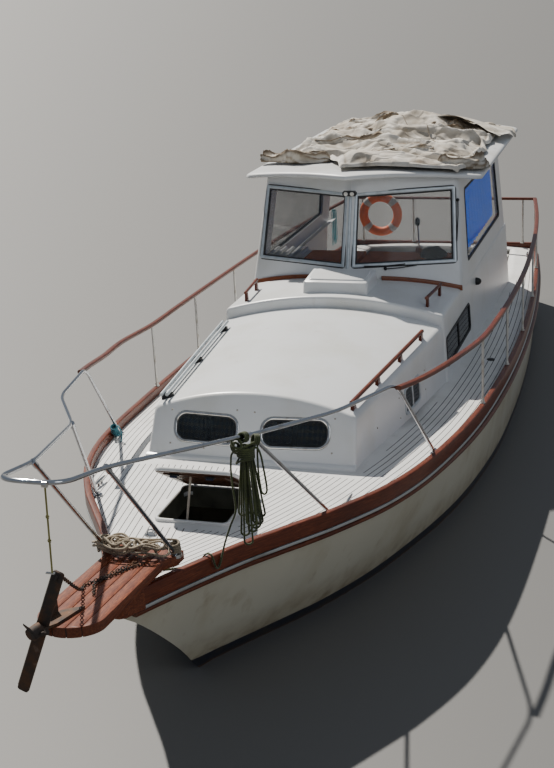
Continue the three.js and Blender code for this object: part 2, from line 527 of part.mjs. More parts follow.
// Hatch box ahead of the windscreen.
put('hatch_box', prismX([[-322, 1300], [-238, 1572], [110, 1602], [140, 1300]], -286, 286)
  .subtract(raisedOuter.translate([0, 0, GAP])).subtract(houseLoft(-0.6, HOUSE.z0 - 100, 2500, 0)), 0xdcdcda, 0.5);

// Foredeck hatch: coaming with two lugs, lid that turns on its pin in them, and the lid's stay.
const COAMING = { w: 500, h: 550, rise: 26 };
const HINGE = { y: HATCH.y + COAMING.h / 2 + 6, z: deckTop(0, HATCH.y) + COAMING.rise + 6, open: 31, pin: 5, lug: 165 };
const hatchPin = (r, sides) => pipe([[-220, HINGE.y, HINGE.z], [220, HINGE.y, HINGE.z]], r, sides);
let coaming = prism(rounded(0, HATCH.y, COAMING.w, COAMING.h, 92), 700, deckTop(0, HATCH.y) + COAMING.rise)
  .subtract(prism(rounded(0, HATCH.y, HATCH.w - 6, HATCH.h - 6, HATCH.r - 3), 500, 1400));
for (const x of [-HINGE.lug, HINGE.lug]) coaming = coaming.add(box(x - 12, x + 12, HINGE.y - 13, HINGE.y + 11, 800, HINGE.z + 11));
put('hatch_coaming', coaming.subtract(hatchPin(HINGE.pin + 0.35, 24)).subtract(underDeck), 0xe2e2de, 0.5);

// Lid: rests open, turned about the hinge line aft of the coaming, with its stay fixed under it.
const turnX = (shape, angle, y, z) => shape.translate([0, -y, -z]).rotate([angle, 0, 0]).translate([0, y, z]);
let lidPlate = prism(rounded(0, HINGE.y - 4 - 270, 530, 540, 95), HINGE.z, HINGE.z + 26);
for (const x of [-HINGE.lug, HINGE.lug]) {
  lidPlate = lidPlate.subtract(box(x - 20, x + 20, HINGE.y - 28, HINGE.y + 20, HINGE.z - 10, HINGE.z + 40));
}
const lidStraps = [-HINGE.lug - 40, 0, HINGE.lug + 40].map((x) => box(x - 15, x + 15, HINGE.y - 20, HINGE.y + 4, HINGE.z, HINGE.z + 5));
const lid = lidStraps.reduce((shape, strap) => shape.add(strap), lidPlate).add(hatchPin(HINGE.pin, 16));
put('hatch_lid', turnX(lid, -HINGE.open, HINGE.y, HINGE.z), 0xe2e2de, 0.5);
const stayTop = { out: 445, down: 3 };
const stayHead = [-40, HINGE.y - stayTop.out * Math.cos(HINGE.open * Math.PI / 180),
  HINGE.z + stayTop.out * Math.sin(HINGE.open * Math.PI / 180) + 8];
const overLid = turnX(prism(rounded(0, HINGE.y - 4 - 270, 530, 540, 95), HINGE.z - GAP, HINGE.z + 80), -HINGE.open, HINGE.y, HINGE.z);
put('hatch_stay', pipe([[-40, HATCH.y - 222, deckTop(0, -3880) - 6], stayHead], 8, 8).subtract(overLid), 0x8a5a3a, 0.5);

// Pulpit: stainless bars from the side decks round the bow, with legs to the deck and platform.
const TUBE = 12.5;
const flip = (path) => path.map(([x, y, z]) => [-x, y, z]);
const halfBar = [[1218, -2230, 800], [1100, -2935, 1622], [900, -3720, 1705], [550, -4285, 1752],
  [197, -5425, 1999], [168, -5850, 2088]];
const upperBar = bent([...halfBar, ...flip(halfBar).reverse()], 130);
const LEGS = [
  [[550, -4285, 1752], [820, -3485, 880]],
  [[197, -5425, 1999], [213, -4653, 1133]],
];
let pulpit = pipe(upperBar, TUBE);
for (const leg of LEGS) pulpit = pulpit.add(pipe(leg, TUBE)).add(pipe(flip(leg), TUBE));
const platformTop = prism(platformPlan, -350, GAP, onPlatform);
put('pulpit', largest(pulpit.subtract(underDeck).subtract(platformTop)), 0xc4c6c8, 0.25, 0.9);

// Handrails of wood with their stanchions, from the pulpit to the stern.
const RAIL = { lift: 600, w: 46, t: 30, inset: 24 };
const railAt = (y, lift) => [line('xs', y) - RAIL.inset, y, line('zs', y) + lift];
const railYs = [-1800, -1040, -400, 300, 1235, 2000, 3000, 4000, 4963];
const railPath = [[1122, -2965, 1590], [1180, -2700, 1550], [1245, -2300, 1495], ...railYs.map((y) => railAt(y, RAIL.lift + 60 * Math.max(0, (-y - 1040) / 1260)))];
const toeTop = strip(edgePath, 30, -80, -200, 72 + GAP);
let sideRail = strip(railPath, RAIL.w / 2, -RAIL.w / 2, 0, RAIL.t);
for (const y of [-1040, 110, 1235, 2500, 3750, 4940]) {
  sideRail = sideRail.add(pipe([railAt(y, 50), railAt(y, RAIL.lift + 8)], 11, 8));
}
const roundPulpit = pipe(upperBar, TUBE + GAP, 10);
const overToe = toeTop.add(mirrored(toeTop)).add(roundPulpit).add(box(-2000, 2000, 4963, 5200, 0, 3000));
for (const { side, sign } of SIDES) put(`side_rail_${side}`, largest(sided(sideRail, sign).subtract(overToe)), 0x6e2c1a, 0.35);

// Stern rail on its posts.
const sternZ = line('zs', 4963) + RAIL.lift;
let sternRail = box(-1150, 1150, 4963 + GAP, 5010, sternZ, sternZ + RAIL.t);
for (const x of [-990, -350, 350, 990]) sternRail = sternRail.add(pipe([[x, 4990, 729 + GAP], [x, 4990, sternZ + 8]], 14, 8));
put('stern_rail', sternRail, 0x6e2c1a, 0.35);

// Grab rails on the cabin roofs and the twin bars on the starboard side.
const trunkEdge = (y) => TRUNK.xf + ((TRUNK.xr - TRUNK.xf) * (y - TRUNK.yf)) / (TRUNK.yr - TRUNK.yf);
const onTrunk = (y, inset, z) => [trunkEdge(y) - inset, y, z];
const trunkTop = trunkShell(0, 0).translate([0, 0, GAP]);
const raisedTop = raisedOuter.translate([0, 0, GAP]);
const foot = (x, y, z, w, l) => box(x - w / 2, x + w / 2, y - l / 2, y + l / 2, z - 120, z);
let grab = strip([onTrunk(-2520, 62, 0), onTrunk(-760, 62, 0)], 15, -15, 1306, 1334);
for (const y of [-2480, -1930, -1370, -800]) grab = grab.add(foot(trunkEdge(y) - 62, y, 1312, 26, 90));
put('grab_rail_port', largest(grab.subtract(trunkTop)), 0x6e2c1a, 0.35);
let bars = pipe([onTrunk(-2560, 45, 1318), onTrunk(-700, 45, 1318)], 13, 8)
  .add(pipe([onTrunk(-2560, 88, 1322), onTrunk(-700, 88, 1322)], 13, 8));
for (const y of [-2470, -1640, -800]) bars = bars.add(foot(trunkEdge(y) - 66, y, 1318, 84, 60));
put('twin_bars_starboard', largest(mirrored(bars).subtract(trunkTop)), 0xb4b8bc, 0.3, 0.8);
const shortRail = strip([[800, -290, 0], [842, 180, 0]], 13, -13, 1452, 1476)
  .add(foot(804, -250, 1460, 24, 50)).add(foot(838, 140, 1460, 24, 50));
for (const { side, sign } of SIDES) put(`short_rail_${side}`, largest(sided(shortRail, sign).subtract(raisedTop)), 0x6e2c1a, 0.35);

// Propeller with its shaft, built along +Y and turned onto the shaft line.
const SCREW = { hub: 36, radius: 178, blades: 3, thick: 9 };
const shaftTilt = (Math.atan2(SHAFT.z1 - SHAFT.z0, SHAFT.y1 - SHAFT.y0) * 180) / Math.PI;
const shaftLength = Math.hypot(SHAFT.y1 - SHAFT.y0, SHAFT.z1 - SHAFT.z0);
let screw = pipe([[0, 0, 0], [0, shaftLength + 60, 0]], SHAFT.r, 16)
  .add(pipe([[0, shaftLength - 60, 0], [0, shaftLength + 50, 0]], SCREW.hub, 16))
  .add(loft([[SCREW.hub * 0.98, 48], [SCREW.hub * 0.6, 88], [4, 102]].map(([r, y]) => Array.from({ length: 12 }, (_, k) => [
    r * Math.cos(k * Math.PI / 6), shaftLength + y, r * Math.sin(k * Math.PI / 6)]))));
const blade = loft([[20, 34, 62], [60, 62, 50], [110, 78, 38], [150, 66, 30], [SCREW.radius, 26, 26]].map(([r, half, pitch]) => {
  const a = (pitch * Math.PI) / 180;
  const t = SCREW.thick * (1.2 - r / 260);
  return [[half, 0], [0, t], [-half, 0], [0, -t]].map(([c, n]) => [
    c * Math.cos(a) - n * Math.sin(a), shaftLength - 5 + c * Math.sin(a) + n * Math.cos(a), r]);
}));
for (let k = 0; k < SCREW.blades; k += 1) screw = screw.add(blade.rotate([0, (360 * k) / SCREW.blades, 0]));
put('propeller', screw.rotate([shaftTilt, 0, 0]).translate([0, SHAFT.y0, SHAFT.z0]), 0xa9813a, 0.35, 0.9);

// Rudder: foil blade with its stock above and a pintle in the shoe.
const foilPlan = [[0, 4530], [15, 4560], [18, 4630], [13, 4760], [3, 4940], [-3, 4940], [-13, 4760], [-18, 4630], [-15, 4560]];
const rudder = prism(foilPlan, -728, -350).add(pipe([[0, RUDDER.y, -400], [0, RUDDER.y, RUDDER.zt]], RUDDER.r, 12))
  .add(pipe([[0, RUDDER.y, -700], [0, RUDDER.y, -765]], 9, 12));
put('rudder', rudder, 0x5a2f26, 0.6);

// Engine block under the sole hatch.
put('engine', box(-ENGINE.x, ENGINE.x, ENGINE.y0, ENGINE.y1, ENGINE.z0 - 19.7, ENGINE.z1), 0x4d5a50, 0.6);
put('sole_hatch', box(-SOLE_HATCH.x + SOLE_HATCH.clear, SOLE_HATCH.x - SOLE_HATCH.clear, SOLE_HATCH.y0 + SOLE_HATCH.clear,
  SOLE_HATCH.y1 - SOLE_HATCH.clear, SOLE.cockpit - SOLE_HATCH.thick, SOLE.cockpit), 0x7a3c1e, 0.5);

// Bulkhead with dash shelves, companion door, steering wheel and helm seat.
const DASH = { y0: 560 + GAP, y1: 585, back: 1050, top: 1362, shelf: 1330 };
let dash = box(-880, 880, DASH.y0, DASH.y1, SOLE.cockpit + GAP, DASH.top)
  .subtract(box(DOORWAY.x0, DOORWAY.x1, 500, 700, 200, 1300))
  .add(box(250, 880, DASH.y0, DASH.back, DASH.shelf, DASH.top)).add(box(-880, -365, DASH.y0, DASH.back, DASH.shelf, DASH.top))
  .add(box(250, 880, DASH.back - 25, DASH.back, 760, DASH.top)).add(box(-880, -365, DASH.back - 25, DASH.back, 1180, DASH.top));
const WHEEL = { x: 500, y: 1135, z: 1130, r: 190, rim: 13 };
dash = dash.subtract(pipe([[WHEEL.x, 900, WHEEL.z], [WHEEL.x, 1200, WHEEL.z]], 12.95, 24));
const DOOR = { pin: 5, x: DOORWAY.x0 + 6, y: DASH.y1 + 32, lugs: [500, 1200] };
const doorPin = (r, sides) => pipe([[DOOR.x, DOOR.y, 440], [DOOR.x, DOOR.y, 1260]], r, sides);
for (const z of DOOR.lugs) {
  dash = dash.add(box(DOOR.x - 21, DOOR.x + 11, DASH.y1 - 2, DOOR.y + 11, z - 14, z + 14).subtract(doorPin(DOOR.pin + 0.35, 24)));
}
put('dash', dash, 0x7a3c1e, 0.4);
let door = box(DOOR.x, DOORWAY.x1 + 20, DASH.y1 + 6, DOOR.y, SOLE.cockpit + 8, 1318);
for (const z of DOOR.lugs) door = door.subtract(box(DOOR.x - 30, DOOR.x + 28, DASH.y1, DOOR.y + 20, z - 22, z + 22));
put('cabin_door', door.add(doorPin(DOOR.pin, 16)), 0x7a3c1e, 0.4);
const ringPts = (radius, count) => Array.from({ length: count }, (_, k) => [radius * Math.cos((2 * Math.PI * k) / count),
  radius * Math.sin((2 * Math.PI * k) / count)]);
// Ring of round section about the Y axis.
function torus(cx, cy, cz, radius, bar, around = 28, sides = 8) {
  const points = [];
  const tris = [];
  ringPts(1, around).forEach(([c, s]) => ringPts(bar, sides).forEach(([a, b]) => {
    points.push([cx + (radius + a) * c, cy + b, cz + (radius + a) * s]);
  }));
  for (let i = 0; i < around; i += 1) {
    for (let j = 0; j < sides; j += 1) {
      const [m, n] = [((i + 1) % around) * sides, (j + 1) % sides];
      tris.push([i * sides + j, i * sides + n, m + n], [i * sides + j, m + n, m + j]);
    }
  }
  return solid(points, tris);
}
let wheel = torus(WHEEL.x, WHEEL.y, WHEEL.z, WHEEL.r, WHEEL.rim)
  .add(pipe([[WHEEL.x, DASH.back - 20, WHEEL.z], [WHEEL.x, WHEEL.y + 16, WHEEL.z]], 12.5, 12))
  .add(pipe([[WHEEL.x, WHEEL.y - 14, WHEEL.z], [WHEEL.x, WHEEL.y + 14, WHEEL.z]], 34, 12));
for (const a of [90, 210, 330]) {
  const [c, s] = [Math.cos((a * Math.PI) / 180), Math.sin((a * Math.PI) / 180)];
  wheel = wheel.add(pipe([[WHEEL.x + 20 * c, WHEEL.y, WHEEL.z + 20 * s],
    [WHEEL.x + (WHEEL.r - 2) * c, WHEEL.y, WHEEL.z + (WHEEL.r - 2) * s]], 9, 8));
}
put('steering_wheel', wheel, 0x2b2522, 0.4);
const SEAT = { x: 650, y: 1760, w: 380, z: 800 };
put('helm_seat', box(SEAT.x - 190, SEAT.x + 190, SEAT.y - 200, SEAT.y + 200, SEAT.z, SEAT.z + 90)
  .add(box(SEAT.x - 40, SEAT.x + 40, SEAT.y - 40, SEAT.y + 40, SOLE.cockpit + GAP, SEAT.z + 10))
  .add(box(SEAT.x - 190, SEAT.x + 190, SEAT.y + 130, SEAT.y + 200, SEAT.z + 50, SEAT.z + 420)), 0xd8d4c6, 0.6);
put('stern_bench', box(-850, 850, 4440, 4850, SOLE.cockpit + GAP, 625), 0xdcdcd4, 0.5);

// Anchor stowed over the tip of the platform, a ring buoy on the stern rail.
// The shank is a flat bar across the front of the tip; the long fluke lies on the planks with a fin on its edge.
const ANCHOR = { head: [52, -5745, 1578], heel: [-224, -5745, 894], flat: 60, thick: 14, crown: [-72, -5745, 1262] };
const shankLength = Math.hypot(ANCHOR.heel[0] - ANCHOR.head[0], ANCHOR.heel[2] - ANCHOR.head[2]);
const [shankX, shankZ] = [(ANCHOR.heel[0] - ANCHOR.head[0]) / shankLength, (ANCHOR.heel[2] - ANCHOR.head[2]) / shankLength];
const shankPlan = rounded(shankLength / 2, 0, shankLength, ANCHOR.flat, 12, 2);
const flukePlan = [[-125, -5790], [-75, -5818], [-12, -5700], [30, -5478], [-40, -5530], [-88, -5590], [-112, -5680]];
const finPath = [onPlatform(-92, -5650, 0), onPlatform(-72, -5575, 0)];
const palmPath = [[-92, -5800, 1250], [-110, -5828, 1310]];
const anchor = prism(shankPlan, -ANCHOR.thick / 2, ANCHOR.thick / 2, (along, across, n) => [
  ANCHOR.head[0] + shankX * along - shankZ * across, ANCHOR.head[1] + n, ANCHOR.head[2] + shankZ * along + shankX * across])
  .add(pipe([[ANCHOR.crown[0] - 22, -5812, ANCHOR.crown[2] - 14], [ANCHOR.crown[0] + 8, -5752, ANCHOR.crown[2] - 2]], 25, 10))
  .add(prism(flukePlan, GAP, GAP + 14, onPlatform))
  .add(strip(finPath, 5, -5, GAP + 4, 80))
  .add(strip(palmPath, 34, -34, -6, 6));
put('anchor', largest(anchor), 0x57524c, 0.6, 0.5);
put('ring_buoy', torus(-749, 4963 - 52.3, 1078, 215, 55, 32, 10), 0xd2571f, 0.6);

// Ropes as hanks and a heap, the folded cover on the roof and the cloth inside the port window.
const HANK = { x: 516, y: -4395, top: 1815, bottom: 1130, turn: 0 };
const hank = (cx, cy, top, bottom, width, thick, turn) => {
  const outline = rounded(0, (top + bottom) / 2, width, top - bottom, width / 2 - 1, 4);
  const [c, s] = [Math.cos((turn * Math.PI) / 180), Math.sin((turn * Math.PI) / 180)];
  return prism(outline, -thick / 2, thick / 2, (x, z, n) => [cx + x * c - n * s, cy + x * s + n * c, z]);
};
put('rope_hank_green', hank(HANK.x, HANK.y, HANK.top, HANK.bottom, 110, 62, HANK.turn).subtract(roundPulpit),
  0x2f7a52, 0.8);
put('rope_heap', prism(rounded(0, -4775, 380, 200, 90), GAP, 50, onPlatform), 0xb8a67c, 0.9);
put('rope_hank_cyan', hank(-railAt(4400, 0)[0], 4400, line('zs', 4400) + RAIL.lift - GAP, 790, 90, 44, 90), 0x2aa7c0, 0.8);
const roofLid = slab(14, 8, roofPlan(0), (x) => roofUnder(x) + ROOF.thick + GAP, () => 1800);
const coverPlan = (u, v) => [-900 + 1900 * u, 1000 + 150 * Math.sin(u * 3) + (2480 - 100 * Math.cos(u * 4)) * v];
const coverTop = (x, y, u, v) => roofUnder(x) + ROOF.thick + 55 + 30 * Math.sin(u * 9) * Math.cos(v * 7)
  + 70 * Math.exp(-(((v - 0.9) / 0.12) ** 2)) * u;
put('roof_cover', slab(10, 8, coverPlan, coverTop, (x) => roofUnder(x) + 10).subtract(roofLid), 0xcfc4ae, 0.95);
const cloth = [[1180, 1560], [1960, 1560], [1960, 2160], [1180, 2160]].map(([y, z]) => houseSide(y, z));
put('window_cloth', plate(cloth, 0, 30, -56, -41), 0x1d78c8, 0.9);

export default group;
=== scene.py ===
import math
import bpy
import bmesh
import numpy as np
from mathutils import Matrix, Vector, noise
from mathutils.bvhtree import BVHTree


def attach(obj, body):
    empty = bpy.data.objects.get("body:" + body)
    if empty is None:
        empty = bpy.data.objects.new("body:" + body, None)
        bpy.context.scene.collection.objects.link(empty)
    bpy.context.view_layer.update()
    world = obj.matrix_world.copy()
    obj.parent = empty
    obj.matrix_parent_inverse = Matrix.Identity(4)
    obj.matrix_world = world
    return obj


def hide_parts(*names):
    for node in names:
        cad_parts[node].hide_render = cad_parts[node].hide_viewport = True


noise.seed_set(4)

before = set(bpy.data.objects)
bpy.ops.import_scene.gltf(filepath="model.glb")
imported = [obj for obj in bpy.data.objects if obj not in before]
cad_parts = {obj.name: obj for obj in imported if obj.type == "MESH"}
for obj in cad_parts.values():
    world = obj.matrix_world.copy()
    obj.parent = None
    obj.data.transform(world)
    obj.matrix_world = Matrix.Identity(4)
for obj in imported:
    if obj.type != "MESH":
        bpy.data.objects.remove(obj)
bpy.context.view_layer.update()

# The viewer stands on a jetty off the port bow, a little over four metres above the water, and looks
# down along the deck. The turn and place below are the photograph's own.
camera_data = bpy.data.cameras.new("jetty_view")
camera_data.sensor_width = 36.0
camera_data.lens = 61.15
camera_data.clip_end = 2000
camera = bpy.data.objects.new("jetty_view", camera_data)
camera.matrix_world = Matrix((
    (0.95630485, -0.04861785, 0.28830078, 2.79739),
    (0.28819175, 0.32288730, -0.90149282, -10.76576),
    (-0.04926002, 0.94518786, 0.32278996, 4.38369),
    (0, 0, 0, 1)))
bpy.context.collection.objects.link(camera)
bpy.context.scene.camera = camera

# Mooring ropes: laid rope of three strands, kept ready on board. The green one hangs as a hank over the
# pulpit's bar, its tail runs over the toe rail to the bow; the beige one lies heaped on the platform; a
# thin cyan one hangs from the starboard rail. Each is one tube that follows its own route.


def even_path(points, step):
    """Points at even steps on a smooth curve through the given ones."""
    p = [Vector(q) for q in points]
    dense = []
    for i in range(len(p) - 1):
        a, b, c, d = p[max(0, i - 1)], p[i], p[i + 1], p[min(len(p) - 1, i + 2)]
        n = max(2, int((c - b).length / step * 2))
        for k in range(n):
            t = k / n
            dense.append(0.5 * ((2 * b) + (c - a) * t + (2 * a - 5 * b + 4 * c - d) * t * t
                                + (3 * b - 3 * c + d - a) * t ** 3))
    dense.append(p[-1])
    out, left = [dense[0]], step
    for a, b in zip(dense, dense[1:]):
        seg = (b - a).length
        while seg >= left > 0:
            a = a.lerp(b, left / seg)
            out.append(a)
            seg, left = (b - a).length, step
        left -= seg
    if (out[-1] - dense[-1]).length > step * 0.3:
        out.append(dense[-1])
    return out


def carried_frames(path):
    """Side and up directions carried along a path without twist."""
    tangents = [((path[min(i + 1, len(path) - 1)]) - path[max(i - 1, 0)]).normalized() for i in range(len(path))]
    side = tangents[0].orthogonal().normalized()
    frames = []
    for t in tangents:
        side = (side - t * side.dot(t)).normalized()
        frames.append((side, t.cross(side)))
    return frames


def band_faces(rows, n, closed=True, caps=True):
    """Faces of a skin over rows of n points, and the two that close its ends."""
    faces = []
    for i in range(rows - 1):
        for k in range(n if closed else n - 1):
            m = (k + 1) % n
            faces.append((i * n + k, i * n + m, (i + 1) * n + m, (i + 1) * n + k))
    if caps:
        faces += [tuple(reversed(range(n))), tuple(range((rows - 1) * n, rows * n))]
    return faces


def reworked(obj, *changes):
    """Runs changes on a piece's mesh, one after the other."""
    bm = bmesh.new()
    bm.from_mesh(obj.data)
    for change in changes:
        change(bm)
    bm.to_mesh(obj.data)
    bm.free()


def doubles_merged(reach):
    return lambda bm: bmesh.ops.remove_doubles(bm, verts=bm.verts, dist=reach)


def edges_shaded(angle, faces_too=True):
    """Smooth shading, with the edges that bend more than an angle left sharp."""
    def change(bm):
        for f in bm.faces if faces_too else ():
            f.smooth = True
        for e in bm.edges:
            e.smooth = len(e.link_faces) == 2 and e.calc_face_angle(0) < math.radians(angle)
    return change


def meshed(name, verts, faces, material, body="hull", uvs=None, smooth=40):
    """Object from points and faces, with shaded corners sharper than an angle left sharp."""
    mesh = bpy.data.meshes.new(name)
    mesh.from_pydata([tuple(v) for v in verts], [], faces)
    if uvs is not None:
        layer = mesh.uv_layers.new(name="along")
        for loop in mesh.loops:
            layer.data[loop.index].uv = uvs[loop.vertex_index]
    mesh.materials.append(material)
    obj = bpy.data.objects.new(name, mesh)
    bpy.context.collection.objects.link(obj)
    if smooth is not None:
        reworked(obj, edges_shaded(smooth))
    if body:
        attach(obj, body)
    return obj


def dressed(obj, node=None):
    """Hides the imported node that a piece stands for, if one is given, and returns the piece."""
    if node:
        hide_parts(node)
    return obj


def round_skin(path, sides, reach, girth=1.0):
    """Points, UVs and faces of a round skin; reach gives its radius by point, turn and run."""
    verts, uvs, run = [], [], 0.0
    for i, (p, (a, b)) in enumerate(zip(path, carried_frames(path))):
        run += (p - path[i - 1]).length if i else 0
        for k in range(sides):
            t = 2 * math.pi * k / sides
            r = reach(i, t, run)
            verts.append(p + a * (r * math.cos(t)) + b * (r * math.sin(t)))
            uvs.append((k / sides * girth, run))
    return verts, uvs, band_faces(len(path), sides)


def laid_rope(name, route, radius, material, node=None, lay=0.055, sides=12, step=None):
    """Rope whose three strands turn once in each lay length."""
    path = even_path(route, step or radius * 1.1)
    verts, uvs, faces = round_skin(path, sides, lambda i, t, run: radius * (
        0.80 + 0.20 * abs(math.cos(1.5 * (t - 2 * math.pi * run / lay))) ** 0.7))
    return dressed(meshed(name, verts, faces, material, "hull", uvs, smooth=70), node), path


def new_material(name, roughness=0.5, metallic=0.0):
    material = bpy.data.materials.new(name)
    material.use_nodes = True
    shader = material.node_tree.nodes["Principled BSDF"]
    shader.inputs["Roughness"].default_value = roughness
    shader.inputs["Metallic"].default_value = metallic
    return material, material.node_tree, shader


def added(tree, kind, inputs, **settings):
    """New node of a tree; each input gets a value, or the socket that feeds it."""
    node = tree.nodes.new(kind)
    for key, value in settings.items():
        setattr(node, key, value)
    for key, value in inputs.items():
        socket = node.inputs[key]
        if isinstance(value, bpy.types.NodeSocket):
            tree.links.new(value, socket)
        else:
            socket.default_value = (*value, 1) if socket.type == "RGBA" else value
    return node


def ramp_between(tree, source, stops):
    ramp = added(tree, "ShaderNodeValToRGB", {0: source})
    while len(ramp.color_ramp.elements) < len(stops):
        ramp.color_ramp.elements.new(0.5)
    for element, (at, colour) in zip(ramp.color_ramp.elements, stops):
        element.position, element.color = at, (*colour, 1)
    return ramp.outputs[0]


def noise_of(tree, scale, detail=4, stretch=(1, 1, 1), coords="Object", roughness=0.55, distortion=0.0):
    """Noise on the piece's own coordinates, stretched where the finish runs one way."""
    where = added(tree, "ShaderNodeTexCoord", {})
    mapping = added(tree, "ShaderNodeMapping", {"Scale": stretch, 0: where.outputs[coords]})
    return added(tree, "ShaderNodeTexNoise", {"Scale": scale, "Detail": detail, "Roughness": roughness,
                                              "Distortion": distortion, 0: mapping.outputs[0]}).outputs[0]


def bumped(tree, shader, height, strength, distance):
    bump = added(tree, "ShaderNodeBump", {"Strength": strength, "Distance": distance, "Height": height})
    tree.links.new(bump.outputs[0], shader.inputs["Normal"])


def rope_yarn(name, deep, pale):
    """Twisted fibre: deep and pale tones mixed at random by fine and broad noise, with a fine relief from the fine
    noise.
    """
    material, tree, shader = new_material(name, 0.85)
    fibre = noise_of(tree, 160, 3)
    patches = noise_of(tree, 9, 3)
    mixed = added(tree, "ShaderNodeMath", {0: fibre, 1: 0.5}, operation="MULTIPLY_ADD")
    half = added(tree, "ShaderNodeMath", {0: patches, 1: 0.5}, operation="MULTIPLY")
    tree.links.new(half.outputs[0], mixed.inputs[2])
    tree.links.new(ramp_between(tree, mixed.outputs[0], [(0.34, deep), (0.66, pale)]), shader.inputs["Base Color"])
    bumped(tree, shader, fibre, 0.5, 0.001)
    shader.inputs["Sheen Weight"].default_value = 0.25
    return material


def turns(centre, axis, across, radii, count, pitch, start=0.0, wobble=0.0, steps=14):
    """Turns of rope round an axis: across is one radius direction, radii are along it and across both."""
    n = Vector(axis).normalized()
    u = (Vector(across) - n * Vector(across).dot(n)).normalized()
    v = n.cross(u)
    out = []
    for k in range(int(abs(count) * steps) + 1):
        t = start + math.copysign(2 * math.pi * k / steps, count)
        loose = 1 + wobble * math.sin(2.3 * k / steps * 3.1 + start)
        out.append(Vector(centre) + u * (radii[0] * loose * math.cos(t)) + v * (radii[1] * loose * math.sin(t))
                   + n * (pitch * k / steps))
    return out


green_yarn = rope_yarn("green_mooring_rope", (0.006, 0.010, 0.003), (0.085, 0.105, 0.026))
green_r, bar_axis = 0.0061, (-0.290, -0.935, 0.203)
hank = Vector((0.529, -4.372, 1.771))
route = turns(hank + Vector((0.013, 0.043, -0.014)), bar_axis, (0, 0, 1), (0.027, 0.023), 4.5, 0.0118, 0.5, 0.05)
for spot, *turning in (
        ((-0.030, -0.026, -0.030), (0.5, -0.6, 0.6), (0.5, 0, -1), (0.036, 0.024), 2.6, 0.009, 1.4, 0.14),
        ((-0.040, -0.020, -0.062), (0.9, -0.3, 0.3), (0, 0.4, -1), (0.034, 0.027), 2.4, 0.010, 2.6, 0.12),
        ((0.058, 0.016, -0.016), (0.7, 0.5, -0.25), (0, 0, 1), (0.028, 0.025), 3.5, 0.0115, 2.0, 0.05)):
    route += turns(hank + Vector(spot), *turning)
route += [hank + Vector(q) for q in ((0.084, 0.020, -0.060), (0.083, 0.012, -0.130), (0.085, 0.010, -0.230),
                                     (0.093, 0.008, -0.300), (0.097, 0.006, -0.325), (0.112, 0.004, -0.340),
                                     (0.128, 0.002, -0.326), (0.131, 0.002, -0.290), (0.120, 0.004, -0.200),
                                     (0.106, 0.006, -0.110), (0.090, 0.002, -0.064), (0.060, -0.008, -0.058))]
runs = [(0.040, 0.062, 1.235, 0.022), (0.058, 0.102, 1.290, 0.008), (0.020, 0.064, 1.205, -0.006),
        (0.046, 0.090, 1.330, -0.016), (-0.012, 0.034, 1.140, -0.022), (0.030, 0.078, 1.225, 0.012),
        (-0.002, 0.044, 1.310, 0.024), (0.012, 0.070, 1.275, -0.030), (-0.030, 0.014, 1.190, 0.002),
        (0.028, 0.080, 1.250, 0.030), (-0.040, 0.004, 1.330, -0.012)]
RUN_TOP, NARROW, BEND_R = 1.688, 0.018, 0.0215
for number, (left, right, low, dy) in enumerate(runs):
    mid, r = (left + right) / 2, max(BEND_R, (right - left) / 2)
    near, far = (-1, 1) if number % 2 else (1, -1)
    sway, lower = 0.006 * math.sin(number * 2.1), 0.003 * number

    def leg(drops, hand):
        """One leg of a loop, which spreads as it drops."""
        for drop in drops:
            spread = NARROW + (mid + hand * r - NARROW) * (0.40 + 0.60 * drop)
            route.append((hank.x + spread + sway * drop, hank.y + dy * (0.5 + drop) + 0.006 * hand,
                          RUN_TOP + (low + r - RUN_TOP) * drop - lower))
    leg([k / 5 for k in range(6)], near)
    for k in range(1, 8):
        t = math.pi * k / 8
        route.append((hank.x + mid + near * r * math.cos(t) + sway, hank.y + dy * 1.5 + 0.006 * near * math.cos(t),
                      low + r - r * math.sin(t) - lower))
    leg([1 - k / 5 for k in range(6)], far)
    if number + 1 < len(runs):
        left, right, low, dy = runs[number + 1]
        side, y0, y1 = route[-1][0], route[-1][1], hank.y + dy * 0.5 + 0.006 * far
        aim = hank.x + NARROW + ((left + right) / 2 + (-near) * max(BEND_R, (right - left) / 2) - NARROW) * 0.40
        for k in range(1, 6):
            t, wide = math.pi * k / 6, 0.022
            route.append((side + (aim - side) * (1 - math.cos(t)) / 2 + 0.012 * math.sin(2 * t),
                          y0 + (y1 - y0) * k / 6 + wide * math.sin(t) * -near * 0.6,
                          RUN_TOP - lower + wide * math.sin(t)))
route += [hank + Vector((-0.030, -0.030, -0.150)), hank + Vector((0.000, -0.044, -0.128))]
route += turns(hank + Vector((0.018, -0.002, -0.118)), (0.10, -0.05, 1), (0.2, -1, 0), (0.040, 0.047), 5.3, 0.0125,
               0.3, 0.03)
route += [hank + Vector(q) for q in ((-0.045, -0.012, -0.085), (-0.062, -0.030, -0.150), (-0.060, -0.035, -0.280))]
route += [(0.476, -4.398, 1.335), (0.440, -4.400, 1.235), (0.408, -4.398, 1.150), (0.389, -4.404, 1.085),
          (0.378, -4.418, 1.030), (0.371, -4.432, 0.996), (0.366, -4.448, 0.984), (0.361, -4.466, 0.992),
          (0.356, -4.476, 1.020), (0.350, -4.477, 1.052), (0.337, -4.471, 1.073), (0.314, -4.463, 1.076),
          (0.292, -4.456, 1.062), (0.272, -4.456, 1.034), (0.252, -4.464, 1.008), (0.224, -4.480, 0.9985),
          (0.186, -4.505, 1.000), (0.145, -4.535, 1.002), (0.100, -4.560, 1.0035), (0.060, -4.575, 1.0045)]
green_rope = laid_rope("rope_hank_green_laid", route, green_r, green_yarn, "rope_hank_green", lay=0.042)

